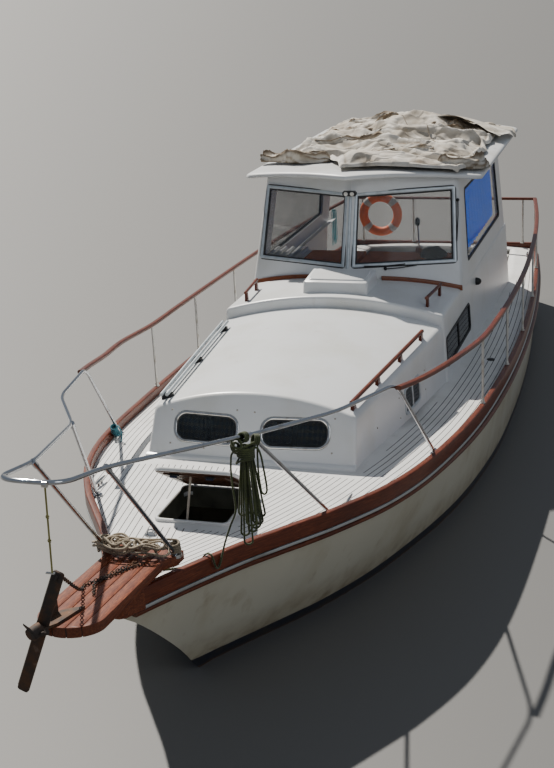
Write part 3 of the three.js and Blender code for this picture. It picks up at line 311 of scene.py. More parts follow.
# The beige warp is made fast round the pulpit's two forward feet and thrown down in loose turns between
# them, over the root of the platform.
beige_yarn = rope_yarn("beige_warp", (0.060, 0.042, 0.025), (0.44, 0.36, 0.25))
beige_r = 0.0074
shuffle = np.random.default_rng(11)


def over_planks(x, y, h):
    return Vector((x, y, 1.173 - 0.0853 * (y + 4.700) + h))


route = turns(over_planks(0.212, -4.692, 0.014), (0.02, -0.12, 1), (1, -0.4, 0), (0.027, 0.027), 4.4, 0.0150, 0.2, 0.05)
route += [over_planks(0.165, -4.690, 0.088), over_planks(0.060, -4.708, 0.084), over_planks(-0.070, -4.706, 0.082),
          over_planks(-0.160, -4.694, 0.078)]
route += turns(over_planks(-0.212, -4.690, 0.074), (-0.05, 0.1, -1), (0.8, 0.4, 0), (0.030, 0.029), 4.6, 0.0145,
               0.4, 0.10)
route += [over_planks(-0.236, -4.735, 0.022), over_planks(-0.206, -4.792, 0.020)]
rounds = 16
for k in range(rounds * 14 + 1):
    t = 2 * math.pi * k / 14
    run = k / 14
    level = k / (rounds * 14)
    wide = 0.060 + 0.020 * math.sin(1.7 * run + 0.6) + 0.006 * shuffle.standard_normal()
    x = -0.015 + 0.120 * math.sin(0.83 * run - 1.5) + wide * 1.30 * math.cos(t + 0.4 * math.sin(0.6 * t) + math.pi)
    y = -4.762 + 0.026 * math.cos(1.9 * run) + wide * 0.80 * math.sin(t + math.pi)
    over = 0.008 + 0.066 * abs(math.sin(1.25 * math.pi * level)) ** 0.8 + 0.012 * (1 + math.sin(2.7 * t + run))
    route.append(over_planks(x, y, over))
heap_rope = laid_rope("rope_heap_laid", route, beige_r, beige_yarn, "rope_heap", lay=0.046, step=0.009)

# The cyan line is a light braid, made up and hung from the starboard side rail near the stern.
cyan_yarn = rope_yarn("cyan_line", (0.015, 0.17, 0.22), (0.12, 0.58, 0.66))
cyan_x, cyan_y, rail_low = -1.2140, 4.400, 1.2605
route = [(cyan_x, cyan_y - 0.016, rail_low - 0.010)]
for number in range(5):
    x, low, high = cyan_x + (number - 2) * 0.0105, 0.80 + 0.022 * ((number * 2) % 5), rail_low - 0.016
    r, start = 0.021 + 0.002 * (number % 2), -1 if number % 2 == 0 else 1
    for k in range(5):
        route.append((x, cyan_y + start * r * (1 + 0.15 * k / 4), high - 0.03 - (high - low - 0.05) * k / 4))
    for k in range(1, 7):
        t = math.pi * k / 7
        route.append((x + 0.003 * k / 7, cyan_y + start * r * 1.15 * math.cos(t), low + 0.02 - r * math.sin(t)))
    for k in range(5):
        route.append((x + 0.004, cyan_y - start * r * (1.15 - 0.15 * k / 4), low + 0.02 + (high - low - 0.05) * k / 4))
    for k in range(1, 6) if number < 4 else ():
        t = math.pi * k / 6
        route.append((x + 0.004 + 0.0065 * k / 6, cyan_y - start * r * math.cos(t), high - 0.03 + 0.021 * math.sin(t)))
cyan_rope = laid_rope("rope_hank_cyan_laid", route, 0.0042, cyan_yarn, "rope_hank_cyan", lay=0.02, sides=9)


# Hull: moulded in cream gelcoat, fine at the stem and full aft, with a flat transom. The lines are the
# part's own: station, half breadth and height of the deck edge, bottom, half breadth at the water and
# fullness of the bilge. A navy boot top runs over brown bottom paint.
LINES = [
    (-5.05, 0.040, 1.002, 0.950, 0.0, 1.0), (-4.8, 0.160, 0.996, 0.770, 0.0, 1.0), (-4.5, 0.318, 0.987, 0.520, 0.0, 1.0),
    (-4.2, 0.485, 0.974, 0.245, 0.0, 1.0), (-3.95, 0.645, 0.962, -0.020, 0.010, 1.0),
    (-3.6, 0.862, 0.943, -0.210, 0.215, 1.1), (-3.08, 1.1, 0.908, -0.340, 0.545, 1.3),
    (-2.43, 1.262, 0.862, -0.405, 0.845, 1.7), (-1.34, 1.388, 0.775, -0.440, 1.180, 2.2),
    (-0.2, 1.445, 0.718, -0.450, 1.345, 2.6), (0.92, 1.458, 0.685, -0.450, 1.385, 2.8),
    (2.0, 1.432, 0.672, -0.430, 1.370, 3.0), (3.0, 1.375, 0.665, -0.400, 1.320, 3.2),
    (4.0, 1.285, 0.660, -0.345, 1.235, 3.4), (5.05, 1.150, 0.657, -0.280, 1.105, 3.6)]


def line(column, y):
    last, i = len(LINES) - 1, 0
    while i < last - 1 and y > LINES[i + 1][0]:
        i += 1

    def slope(k):
        a, b = LINES[max(0, k - 1)], LINES[min(last, k + 1)]
        return (b[column] - a[column]) / (b[0] - a[0])
    p, q = LINES[i], LINES[i + 1]
    h = q[0] - p[0]
    t = min(1, max(0, (y - p[0]) / h))
    return ((2 * t ** 3 - 3 * t ** 2 + 1) * p[column] + (t ** 3 - 2 * t ** 2 + t) * h * slope(i)
            + (-2 * t ** 3 + 3 * t ** 2) * q[column] + (t ** 3 - t ** 2) * h * slope(i + 1))


def half_breadth(y, z):
    xs, zs, zb, xw, e = (line(c, y) for c in (1, 2, 3, 4, 5))
    if zb >= -0.060:
        return xs * max(0.0, min(1.0, (z - zb) / (zs - zb)))
    xw = max(0.001, xw)
    if z >= 0:
        return xw + (xs - xw) * (z / zs) ** 0.9
    return xw * (1 - min(1, z / zb) ** e)


def deck_top(x, y):
    xs = line(1, y)
    return line(2, y) + 0.060 * (xs / 1.450) * (1 - (x / xs) ** 2)


def faces_outward(bm):
    bmesh.ops.recalc_face_normals(bm, faces=bm.faces)


def skin_between(name, rings, material, slot_name=None, node=None, body="hull", closed=True, caps=True, smooth=40,
                 merge=0.0003):
    """Skin over rings of equal length; its ends may be closed."""
    faces = band_faces(len(rings), len(rings[0]), closed, caps)
    obj = meshed(name, [p for ring in rings for p in ring], faces, material, None, None, None)
    reworked(obj, doubles_merged(merge), faces_outward, edges_shaded(smooth))
    if body:
        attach(obj, body)
    return dressed(obj, node) if slot_name else obj


def mixed_colour(tree, mask, below, above, how="MIX"):
    """Colour socket that goes from one colour or socket to another by a mask."""
    mix = tree.nodes.new("ShaderNodeMix")
    mix.data_type, mix.blend_type = "RGBA", how
    for key, value in (("Factor", mask), ("A", below), ("B", above)):
        if isinstance(value, tuple):
            mix.inputs[key].default_value = (*value, 1)
        elif isinstance(value, float):
            mix.inputs[key].default_value = value
        else:
            tree.links.new(value, mix.inputs[key])
    return mix.outputs["Result"]


def dirt_over(tree, base, grime, amount_low, amount_high, scale, stretch=(1, 1, 1)):
    """Colour socket with grime laid over the base where stretched noise is high."""
    field = noise_of(tree, scale, 5, stretch)
    spread = added(tree, "ShaderNodeMapRange", {"From Min": amount_low, "From Max": amount_high, "Value": field})
    return mixed_colour(tree, spread.outputs[0], base, grime)


def level_mask(tree, low, high, lean=0.0):
    """One above a level and nought below it; the level may climb along the boat."""
    where = added(tree, "ShaderNodeTexCoord", {})
    split = added(tree, "ShaderNodeSeparateXYZ", {0: where.outputs["Object"]})
    tilt = added(tree, "ShaderNodeMath", {0: split.outputs["Y"], 1: lean, 2: split.outputs["Z"]},
                 operation="MULTIPLY_ADD")
    return added(tree, "ShaderNodeMapRange", {"From Min": low, "From Max": high, "Value": tilt.outputs[0]}).outputs[0]


hull_coat, tree, shader = new_material("hull_gelcoat_and_boot_top", 0.34)
cream = dirt_over(tree, (0.66, 0.625, 0.50), (0.50, 0.43, 0.28), 0.50, 0.86, 2.2, (1, 1, 0.45))
cream = dirt_over(tree, cream, (0.36, 0.28, 0.16), 0.60, 0.92, 14, (0.5, 0.5, 0.16))
tide = level_mask(tree, 0.10, 0.34, 0.012)
cream = mixed_colour(tree, tide, dirt_over(tree, (0.56, 0.50, 0.36), (0.30, 0.22, 0.12), 0.42, 0.8, 9), cream)
navy = dirt_over(tree, (0.010, 0.014, 0.030), (0.045, 0.036, 0.024), 0.45, 0.75, 12)
brown = dirt_over(tree, (0.11, 0.050, 0.020), (0.05, 0.030, 0.018), 0.4, 0.7, 18)
boot = level_mask(tree, 0.016, 0.019, 0.0006)
top = level_mask(tree, 0.084, 0.0865, 0.0085)
painted = mixed_colour(tree, top, mixed_colour(tree, boot, brown, navy), cream)
tree.links.new(painted, shader.inputs["Base Color"])
shader.inputs["Coat Weight"].default_value = 0.35
shader.inputs["Coat Roughness"].default_value = 0.18
bumped(tree, shader, noise_of(tree, 3.5, 2), 0.10, 0.01)


def both_sides(half):
    """A whole outline from its port half, which ends on the centreline."""
    return half + [(-p[0], *p[1:]) for p in reversed(half[:-1])]


STEM, HULL_LONG, WALL = -5.05, 10.1, 0.034
hull_rings = []
for k in range(101):
    y = STEM + HULL_LONG * (k / 100)
    zs, zb = line(2, y), line(3, y)
    heights = [zs - 0.032 + (zb - zs + 0.032) * (j / 24) ** 0.92 for j in range(25)]
    hull_rings.append(both_sides([(half_breadth(y, z) if j < 24 else 0.0, y, z) for j, z in enumerate(heights)]))
hull_skin = skin_between("hull_moulding", hull_rings, hull_coat, closed=False, caps=False, smooth=50)


def close_transom(bm):
    edge = [v for v in bm.verts if abs(v.co.y - 5.05) < 1e-4]
    bm.faces.new(sorted(edge, key=lambda v: math.atan2(v.co.z - 0.2, v.co.x)))


def walled(obj, thickness, offset, name="wall"):
    """Gives an open skin its thickness."""
    wall = obj.modifiers.new(name, "SOLIDIFY")
    wall.thickness, wall.offset = thickness, offset


reworked(hull_skin, close_transom, faces_outward, edges_shaded(50, False))
walled(hull_skin, WALL, -1)
dressed(hull_skin, "hull")


# Under water: a keel with its shoe, the rudder on its stock, and a three-bladed bronze propeller on the
# shaft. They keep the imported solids' shapes and get old antifouling and sea-dulled bronze.


def weathered(name, surface, base, *layers, relief=None, **sockets):
    """Finish of a (roughness, metal) surface: layers of grime over its colour (grime, low, high, noise
    scale), fine relief (noise, strength, depth) and any other sockets of the shader."""
    material, tree, shader = new_material(name, *surface)
    for layer in layers:
        base = dirt_over(tree, base, *layer)
    tree.links.new(base, shader.inputs["Base Color"])
    for label, value in sockets.items():
        shader.inputs[label.replace("_", " ")].default_value = value
    if relief:
        bumped(tree, shader, noise_of(tree, *relief[0]), *relief[1:])
    return material


antifouling = weathered("bottom_antifouling", (0.8,), (0.13, 0.045, 0.030), ((0.05, 0.055, 0.030), 0.42, 0.7, 7),
                         relief=((60, 4), 0.35, 0.002))
bronze = weathered("propeller_bronze", (0.34, 1.0), (0.52, 0.33, 0.12), ((0.16, 0.17, 0.10), 0.45, 0.8, 9),
                   relief=((40, 3), 0.15, 0.001))


def refinish(node, material):
    """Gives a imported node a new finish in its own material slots."""
    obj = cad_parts[node]
    for k in range(len(obj.material_slots)):
        obj.material_slots[k].material = material
    if not obj.material_slots:
        obj.data.materials.append(material)


for node in ("keel", "rudder"):
    refinish(node, antifouling)
refinish("propeller", bronze)

# Deck: white non-slip paint over the moulding, laid out in narrow planks that fan at the bow and run with
# the boat's side abreast of the cabin. Dark caulking stands in the seams, and a plain
# margin runs round the cabin and the hatch.
deck_paint = weathered("white_deck_paint", (0.55,), (0.70, 0.70, 0.69), ((0.56, 0.555, 0.53), 0.45, 0.85, 3.0),
                       ((0.44, 0.42, 0.38), 0.62, 0.95, 22, (1, 0.3, 1)), relief=((420, 2), 0.12, 0.0006))
caulk = weathered("seam_caulk", (0.75,), (0.040, 0.040, 0.044), ((0.13, 0.12, 0.11), 0.45, 0.8, 16),
                  relief=((150, 2), 0.2, 0.001))


def arcs(corners, r, steps):
    """Quarter turns round four centres, from the first quadrant on."""
    return [(cx + r * math.cos(t), cy + r * math.sin(t)) for n, (cx, cy) in enumerate(corners)
            for t in [math.radians(90 * n + 90 * k / steps) for k in range(steps + 1)]]


def rounded_plan(cx, cy, w, h, r):
    a, b = w / 2 - r, h / 2 - r
    return arcs([(cx + sx * a, cy + sy * b) for sx, sy in ((1, 1), (-1, 1), (-1, -1), (1, -1))], r, 6)


cabin_hole = [(-0.600, -2.560), (0.600, -2.560), (0.905, -1.300), (0.930, 0.600), (0.930, 3.250), (-0.930, 3.250),
              (-0.930, 0.600), (-0.905, -1.300)]
well_hole = [(-0.930, 3.20), (0.930, 3.20), (0.930, 4.00), (0.860, 4.860), (-0.860, 4.860), (-0.930, 4.00)]
hatch_hole = rounded_plan(0, -3.655, 0.450, 0.500, 0.070)


def cut_out(obj, rings):
    """Cuts an opening through a piece, in the shape of a plug over the given rings."""
    plug = skin_between("plug", rings, deck_paint, body=None, smooth=30)
    opening = obj.modifiers.new("opening", "BOOLEAN")
    opening.operation, opening.object, opening.solver = "DIFFERENCE", plug, "EXACT"
    bpy.context.view_layer.update()
    cut = bpy.data.meshes.new_from_object(obj.evaluated_get(bpy.context.evaluated_depsgraph_get()))
    obj.modifiers.clear()
    obj.data = cut
    bpy.data.objects.remove(plug)


def upright(plan, low, high):
    return [[(x, y, z) for x, y in plan] for z in (low, high)]


slab_rings = []
for y in [STEM + HULL_LONG * k / 120 for k in range(121)]:
    xs = line(1, y) - 0.010
    top = [(f * xs, y, deck_top(f * xs, y)) for f in [k / 20 * 2 - 1 for k in range(21)]]
    slab_rings.append(top + [(x, yy, z - 0.025) for x, yy, z in reversed(top)])
deck_skin = skin_between("deck_moulding", slab_rings, deck_paint, smooth=30)
for plan in (cabin_hole, well_hole, hatch_hole):
    cut_out(deck_skin, upright(plan, 0.3, 1.5))
dressed(deck_skin, "deck")


def trunk_half(y):
    """Half breadth of the cabin trunk at its shoulder, before the sides flare out below."""
    return 0.747 + 0.204 * (y + 2.6) / 2.217


def raised_half(y):
    return 0.959 + 0.041 * (y + 0.382) / 3.682


FLARE = 0.06


def trunk_foot(y):
    """Half breadth of the cabin's sides where they meet the deck."""
    if y < -0.383:
        return trunk_half(y) + FLARE * (1.244 - line(2, y))
    return raised_half(y) + FLARE * (1.340 - line(2, y))


def open_deck(x, y, side):
    """Where planks show: inside the toe rail and clear of the cabin's and the hatch's margins."""
    a = abs(x)
    return not (side * x < 0.003 or a > line(1, y) - 0.050 or y < -4.72 or y > 4.95
                or (y > -2.905 and a < trunk_foot(y) + 0.075) or (-3.990 < y < -3.318 and a < 0.300))


pitch, seam, step = 0.0455, 0.0031, 0.02


def seam_lean(side, y):
    """Sideways run of a seam for each metre aft: fanned at the bow, with the boat's side abreast of the cabin."""
    edge = (line(1, y + 0.02) - line(1, y - 0.02)) / 0.04
    bow = 0.14 if side < 0 else 0.20 + 0.34 * min(1, max(0, (-3.0 - y) / 1.2))
    blend = min(1, max(0, (y + 3.1) / 0.8))
    return bow * (1 - blend) + max(0.0, edge) * blend if y < 0.9 else edge


verts, faces = [], []
for side in (1, -1):
    ys = [-4.74 + step * n for n in range(int(9.70 / step))]
    drift = [0.0]
    for y in ys[1:]:
        drift.append(drift[-1] + seam_lean(side, y) * step)
    for k in range(-60, 34):
        run = []
        for n, y in enumerate(ys):
            x = side * (pitch * k + drift[n])
            shown = open_deck(x, y, side)
            if shown:
                run.append((x, y))
            if shown and n < len(ys) - 1:
                continue
            if len(run) > 3:
                faces += [tuple(len(verts) + v for v in face) for face in band_faces(len(run), 4, False, False)]
                for px, py in run:
                    for off, up in ((-seam, 0.0), (-seam * 0.6, 0.0010), (seam * 0.6, 0.0010), (seam, 0.0)):
                        verts.append((px + off, py, deck_top(px + off, py) + up))
            run = []
seams = meshed("deck_seam_caulking", verts, faces, caulk, smooth=80)


def faces_up(bm):
    for f in bm.faces:
        if f.normal.z < 0:
            f.normal_flip()


reworked(seams, faces_up)


# Toe rail and rub strake: mahogany, bent round the deck edge and varnished a deep red brown, with a
# worn aluminium sheer strip bedded between them. The scarfs show as slight changes of grain.


def varnished(name, dark, mid, light, coords="UV", stretch=(9, 0.9, 1), gloss=0.40):
    """Wood under varnish: long grain, darker pores and a clear coat."""
    material, tree, shader = new_material(name, gloss)
    grain = noise_of(tree, 9, 6, stretch, coords, 0.6, 1.4)
    tone = ramp_between(tree, grain, [(0.28, dark), (0.50, mid), (0.72, light)])
    tone = dirt_over(tree, tone, dark, 0.50, 0.85, 1.6)
    pores = noise_of(tree, 70, 3, (stretch[0], stretch[1] * 0.5, 1), coords, 0.6)
    cover = added(tree, "ShaderNodeMapRange", {"From Min": 0.55, "From Max": 0.75, "To Max": 0.45, "Value": pores})
    tone = mixed_colour(tree, cover.outputs[0], tone, (0.35, 0.25, 0.22), "MULTIPLY")
    tree.links.new(tone, shader.inputs["Base Color"])
    for label, value in (("Coat Weight", 0.10), ("Specular IOR Level", 0.32), ("Coat Roughness", 0.16)):
        shader.inputs[label].default_value = value
    bumped(tree, shader, grain, 0.12, 0.002)
    return material


mahogany = varnished("rail_mahogany", (0.045, 0.008, 0.003), (0.112, 0.021, 0.007), (0.22, 0.056, 0.019))
strake_wood = varnished("strake_mahogany", (0.045, 0.009, 0.004), (0.105, 0.023, 0.008), (0.20, 0.058, 0.020))
dull_alloy = weathered("sheer_strip_alloy", (0.42, 0.75), (0.46, 0.48, 0.48),
                       ((0.22, 0.22, 0.20), 0.5, 0.8, 8, (1, 0.2, 1)), relief=((60, 3, (1, 0.2, 1)), 0.15, 0.001))


def moulding(name, path, section, material, node=None):
    """Bar of a given section swept along a path; the section's x points outboard to the path's right."""
    verts, uvs, run, girth = [], [], 0.0, [0.0]
    for a, b in zip(section, section[1:]):
        girth.append(girth[-1] + math.dist(a, b))
    for i, p in enumerate(path):
        a, b = path[max(0, i - 1)], path[min(len(path) - 1, i + 1)]
        run += (Vector(p) - Vector(path[i - 1])).length if i else 0
        ahead = Vector((b[0] - a[0], b[1] - a[1], 0)).normalized()
        out = Vector((ahead.y, -ahead.x, 0))
        for k, (s, h) in enumerate(section):
            verts.append(Vector(p) + out * s + Vector((0, 0, h)))
            uvs.append((girth[k], run))
    n = len(section)
    faces = [(a, d, c, b) for a, b, c, d in band_faces(len(path), n, caps=False)]
    faces += [tuple(range(n)), tuple(reversed(range(len(verts) - n, len(verts))))]
    obj = meshed(name, verts, faces, material, None, uvs, 35)
    reworked(obj, faces_outward)
    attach(obj, "hull")
    return dressed(obj, node)


def rounded_section(x0, x1, z0, z1, r):
    return arcs(((x1 - r, z1 - r), (x0 + r, z1 - r), (x0 + r, z0 + r), (x1 - r, z0 + r)), r, 4)


rail_ys = [-4.93 + 9.97 * k / 130 for k in range(131)]
port_edge = [(line(1, y), y, line(2, y)) for y in rail_ys]


def mirrored(points):
    return [(-x, y, z) for x, y, z in reversed(points)]


toe_section = rounded_section(-0.046, 0.002, -0.036, 0.072, 0.011)
for side, path in (("port", port_edge), ("starboard", mirrored(port_edge))):
    moulding(f"toe_rail_bar_{side}", path, toe_section, mahogany, "toe_rail")
stern_beam = [(x, 5.0235, 0.657) for x in (1.128, 0.6, 0.0, -0.6, -1.128)]
moulding("toe_rail_bar_stern", stern_beam, rounded_section(-0.0255, 0.0255, 0.0, 0.072, 0.011), mahogany,
         "toe_rail")


def on_side(drop):
    """The hull's side a given drop below the deck edge."""
    return [(half_breadth(y, line(2, y) - drop), y, line(2, y) - drop) for y in rail_ys]


strip_section = rounded_section(-0.040, 0.0035, -0.0585, -0.037, 0.006)
bedding_section = rounded_section(-0.012, 0.008, -0.006, 0.004, 0.003)
strake_section = [(-0.012, 0.021), (0.020, 0.021), (0.030, 0.017), (0.036, 0.008), (0.037, -0.001), (0.033, -0.010),
                  (0.022, -0.017), (0.008, -0.0195), (-0.012, -0.0195)]
for side, turn in (("port", list), ("starboard", mirrored)):
    moulding(f"sheer_strip_{side}", turn(port_edge), strip_section, dull_alloy)
    moulding(f"strake_bedding_{side}", turn(on_side(0.063)), bedding_section, caulk)
    moulding(f"rub_strake_bar_{side}", turn(on_side(0.088)), strake_section, strake_wood,
             f"rub_strake_{side}")


# Bow platform: five varnished planks on a dark bed, rising forward to a rounded tip, on a chock over the
# stem. Its root is wider, under the pulpit's feet.
plank_wood = varnished("platform_mahogany", (0.050, 0.010, 0.004), (0.150, 0.034, 0.012), (0.28, 0.085, 0.030),
                       coords="Object", stretch=(11, 0.8, 11), gloss=0.42)
gap_black = weathered("dark_plank_gap", (0.8,), (0.018, 0.012, 0.010), ((0.05, 0.03, 0.02), 0.45, 0.8, 30))


def platform_half(y):
    """Half breadth of the platform at a station."""
    if y > -4.712:
        return 0.232
    if y > -4.800:
        return 0.232 + 0.054 * (y + 4.712) / 0.088
    return 0.178 * math.sqrt(max(0.0, 1 - (min(0.0, y + 5.560) / 0.1625) ** 2))


plank_ys = [-4.6205, -4.68, -4.712, -4.735, -4.76, -4.80] + [-4.80 - 0.76 * k / 19 for k in range(1, 20)]
plank_ys += [-5.560 - 0.1625 * math.sin(math.pi * k / 72) for k in range(1, 37)]
edges_at = [-0.24, -0.107, -0.0357, 0.0357, 0.107, 0.24]
for k in range(5):
    rings = []
    for y in plank_ys:
        w = platform_half(y) - 0.0005
        a, b = max(-w, edges_at[k] + 0.0016), min(w, edges_at[k + 1] - 0.0016)
        if b - a < 0.002:
            break
        e = min(0.0022, (b - a) * 0.3)
        rings.append([over_planks(x, y, h) for x, h in (
            (a + e, -0.057), (b - e, -0.057), (b, -0.054), (b, -e), (b - e * 0.3, -e * 0.3), (b - e, 0), (a + e, 0),
            (a + e * 0.3, -e * 0.3), (a, -e), (a, -0.054))])
    skin_between(f"platform_plank_{k + 1}", rings, plank_wood, "varnished_wood", "bow_platform", smooth=32, merge=0.00001)
outline = [(platform_half(y) - 0.006, y) for y in plank_ys if platform_half(y) > 0.02]
whole = outline + [(-x, y) for x, y in reversed(outline)]
skin_between("platform_bed", [[over_planks(x, y, h) for x, y in whole] for h in (-0.050, -0.006)], gap_black,
             "varnished_wood", smooth=30)
wedge = [(-0.016, -4.895), (0.016, -4.895), (0.080, -4.745), (-0.080, -4.745)]
skin_between("platform_chock", [[(x, y, deck_top(x, y) + 0.0006) for x, y in wedge],
                                [over_planks(x, y, -0.055) for x, y in wedge]], plank_wood, "varnished_wood", smooth=30)

# A wooden cap closes the stem under the platform, between the ends of the two toe rails.
cap_ys = [-4.930, -4.965, -5.000, -5.030, -5.052]
cap_rings = []
for inset, up in ((0.006, -0.052), (0.0, -0.046), (0.0, 0.060), (0.006, 0.068)):
    half = [(half_breadth(y, line(2, y)) + 0.015 - inset, y) for y in cap_ys]
    half += [(0.030 - inset, -5.074 + inset), (0.012, -5.080 + inset)]
    cap_rings.append([(x, y, line(2, y) + up) for x, y in half + [(-x, y) for x, y in reversed(half)]])
skin_between("stem_cap", cap_rings, plank_wood, "varnished_wood", smooth=30)

# Cabin trunk and raised cabin: white mouldings with soft edges, a raked and slightly bowed front, and a
# fillet where they meet the deck. They are glassed to the deck; snap studs for a cover stand on them.
cabin_coat = weathered("cabin_gelcoat", (0.36,), (0.70, 0.715, 0.72), ((0.60, 0.595, 0.55), 0.46, 0.86, 2.4),
                       ((0.40, 0.37, 0.30), 0.66, 0.98, 9, (1, 1, 0.25)), relief=((5.0, 2), 0.10, 0.008),
                       Coat_Weight=0.25, Coat_Roughness=0.22)
TRUNK = {"yf": -2.6, "yr": -0.383, "xf": 0.747, "xr": 0.951, "z": 1.244, "crown": 0.140, "bulge": 0.065,
         "lean": 0.48}
RAISED = {"yf": -0.382, "yr": 3.3, "xf": 0.959, "xr": 1.0, "z": 1.340, "crown": 0.140}


def cabin_section(width, z, crown, inset, edge=0.034, low=0.55):
    """Half outline of a cabin: up the flared side, round the edge and over the crowned top."""
    w, top = width - inset, lambda x: z + crown * (1 - (x / width) ** 2) - inset
    side = [(w + 0.06 * (z - h), h) for h in [low + (z - inset - edge - low) * k / 8 for k in range(9)]]
    a, q = side[-1], (w - edge * 1.2, top(w - edge * 1.2))
    corner = (w, z - inset + 0.004)
    bend = [tuple(a[i] * (1 - t) ** 2 + 2 * corner[i] * t * (1 - t) + q[i] * t * t for i in (0, 1))
            for t in (0.15, 0.3, 0.45, 0.6, 0.75, 0.9)]
    roof = [(q[0] * (1 - k / 10), top(q[0] * (1 - k / 10))) for k in range(11)]
    return both_sides(side + bend + roof)


def trunk_front(x, z):
    return -TRUNK["bulge"] * (1 - min(1, abs(x) / TRUNK["xf"]) ** 1.6) - TRUNK["lean"] * (TRUNK["z"] - z)


def cabin_shell(name, spec, face, ys, soft):
    """Shell from the centre of its front face outward, round the soft front edge and aft."""
    width_at = lambda y: spec["xf"] + (spec["xr"] - spec["xf"]) * (y - spec["yf"]) / (spec["yr"] - spec["yf"])
    rings = []
    first = cabin_section(spec["xf"], spec["z"], spec["crown"], soft)
    for f in (0.02, 0.25, 0.5, 0.7, 0.85, 0.95, 1.0):
        rings.append([(x * f, spec["yf"] + face(x * f, 1.0 + (h - 1.0) * f), 1.0 + (h - 1.0) * f) for x, h in first])
    for k in range(1, 7):
        t = math.radians(90 * k / 6)
        inset, back = soft * (1 - math.sin(t)), soft * (1 - math.cos(t))
        rings.append([(x, spec["yf"] + face(x, h) + back, h)
                      for x, h in cabin_section(spec["xf"], spec["z"], spec["crown"], inset)])
    for n, y in enumerate(ys):
        flat = cabin_section(width_at(y), spec["z"], spec["crown"], 0.0)
        rings.append([(x, max(y, spec["yf"] + face(x, h) + soft + 0.004 * (n + 1)), h) for x, h in flat])
    return skin_between(name, rings, cabin_coat, closed=False, caps=False, smooth=38)


def rounded_quad(corners, inset, radius, height, steps=7):
    """Outline drawn in from the corners, its corners rounded, lifted along the face's normal."""
    pts = [Vector(c) for c in corners]
    n = len(pts)
    normal = sum((p.cross(q) for p, q in zip(pts, pts[1:] + pts[:1])), Vector()).normalized()
    origin, u = sum(pts, Vector()) / n, (pts[1] - pts[0]).normalized()
    v = normal.cross(u)
    flat, lines, inner, out = [((p - origin).dot(u), (p - origin).dot(v)) for p in pts], [], [], []
    for (x, y), (bx, by) in zip(flat, flat[1:] + flat[:1]):
        d = Vector((bx - x, by - y)).normalized()
        lines.append((Vector((x - d.y * inset, y + d.x * inset)), d))
    for i, (p, d) in enumerate(lines):
        q, e = lines[i - 1]
        w = p - q
        inner.append(q + e * ((w.x * d.y - w.y * d.x) / (e.x * d.y - e.y * d.x)))
    for i, b in enumerate(inner):
        r = max(0.0005, radius - inset)
        a, c = b + (inner[i - 1] - b).normalized() * r, b + (inner[(i + 1) % n] - b).normalized() * r
        for k in range(steps):
            t, w = k / (steps - 1), 0.72
            m = (a * (1 - t) ** 2 + b * (2 * w * t * (1 - t)) + c * t * t) / ((1 - t) ** 2 + 2 * w * t * (1 - t) + t * t)
            out.append(origin + u * m.x + v * m.y + normal * height)
    return out


def window_holes(obj, corners, radius, depth, grow=0.0):
    """Cuts a window in both sides of a shell."""
    for outline in (corners, other_side(corners)):
        cut_out(obj, [rounded_quad(outline, -grow, radius, h) for h in (-depth, 0.08)])


def resharpened(obj, angle=38):
    reworked(obj, doubles_merged(0.0002), edges_shaded(angle))


def on_trunk_front(x, z):
    return (x, TRUNK["yf"] + trunk_front(x, z), z)


def trunk_side(y, z):
    return (trunk_half(y) + FLARE * (TRUNK["z"] - z), y, z)


def raised_side(y, z):
    return (raised_half(y) + FLARE * (RAISED["z"] - z), y, z)


def front_y(x, z):
    """The front as flat panes see it: its bulge is straight from the middle to the side."""
    return TRUNK["yf"] - TRUNK["bulge"] * (1 - min(1, x / TRUNK["xf"])) - TRUNK["lean"] * (TRUNK["z"] - z)


def pane_corners(a0, a1, z0, z1, place):
    return [place(a, z) for a, z in ((a0, z0), (a1, z0), (a1, z1), (a0, z1))]


front_window = pane_corners(0.075, 0.578, 1.030, 1.238, lambda x, z: (x, front_y(x, z), z))
trunk_window = pane_corners(-1.53, -1.115, 0.862, 1.085, trunk_side)
cabin_window = pane_corners(-0.335, 0.835, 0.868, 1.135, raised_side)


def other_side(corners):
    a, b, c, d = [(-x, y, z) for x, y, z in corners]
    return [b, a, d, c]


trunk = cabin_shell("cabin_trunk_moulding", TRUNK, trunk_front,
                    [-2.50, -2.40, -2.2, -1.9, -1.6, -1.2, -0.8, -0.383], 0.022)
window_holes(trunk, front_window, 0.094, 0.12)
window_holes(trunk, trunk_window, 0.045, 0.06)
resharpened(trunk)
dressed(trunk, "cabin_trunk")
raised = cabin_shell("raised_cabin_moulding", RAISED, lambda x, z: 0.0,
                     [-0.335, -0.25, 0.1, 0.5, 0.9, 1.4, 2.0, 2.6, 3.0, 3.3], 0.024)
window_holes(raised, cabin_window, 0.05, 0.06)
house_floor = [(0, 0.30), (0.89, 0.60), (0.905, 3.5), (-0.905, 3.5), (-0.89, 0.60)]
cut_out(raised, upright(house_floor, 1.15, 1.7))
resharpened(raised)
dressed(raised, "raised_cabin")

# A fillet of the same moulding is laid round the foot of the trunk's front, and a thin wooden ledge
# along its sides. Small nickel studs hold the winter cover.
fillet = []
for x in [0.772 * math.cos(math.pi * k / 40) for k in range(41)]:
    bulge = TRUNK["bulge"] * (1 - min(1, abs(x) / TRUNK["xf"]) ** 1.6)
    y = TRUNK["yf"] - TRUNK["lean"] * (TRUNK["z"] - deck_top(x, -2.76)) - bulge
    fillet.append((x, y, deck_top(x, y)))
fillet_section = [(-0.02, -0.02), (0.026, -0.02), (0.028, 0.006), (0.022, 0.018), (0.010, 0.026), (-0.03, 0.032)]
moulding("trunk_foot_fillet", fillet[::-1], fillet_section, cabin_coat)
nickel = weathered("nickel_studs", (0.28, 1.0), (0.42, 0.38, 0.32), ((0.12, 0.10, 0.08), 0.4, 0.8, 90))


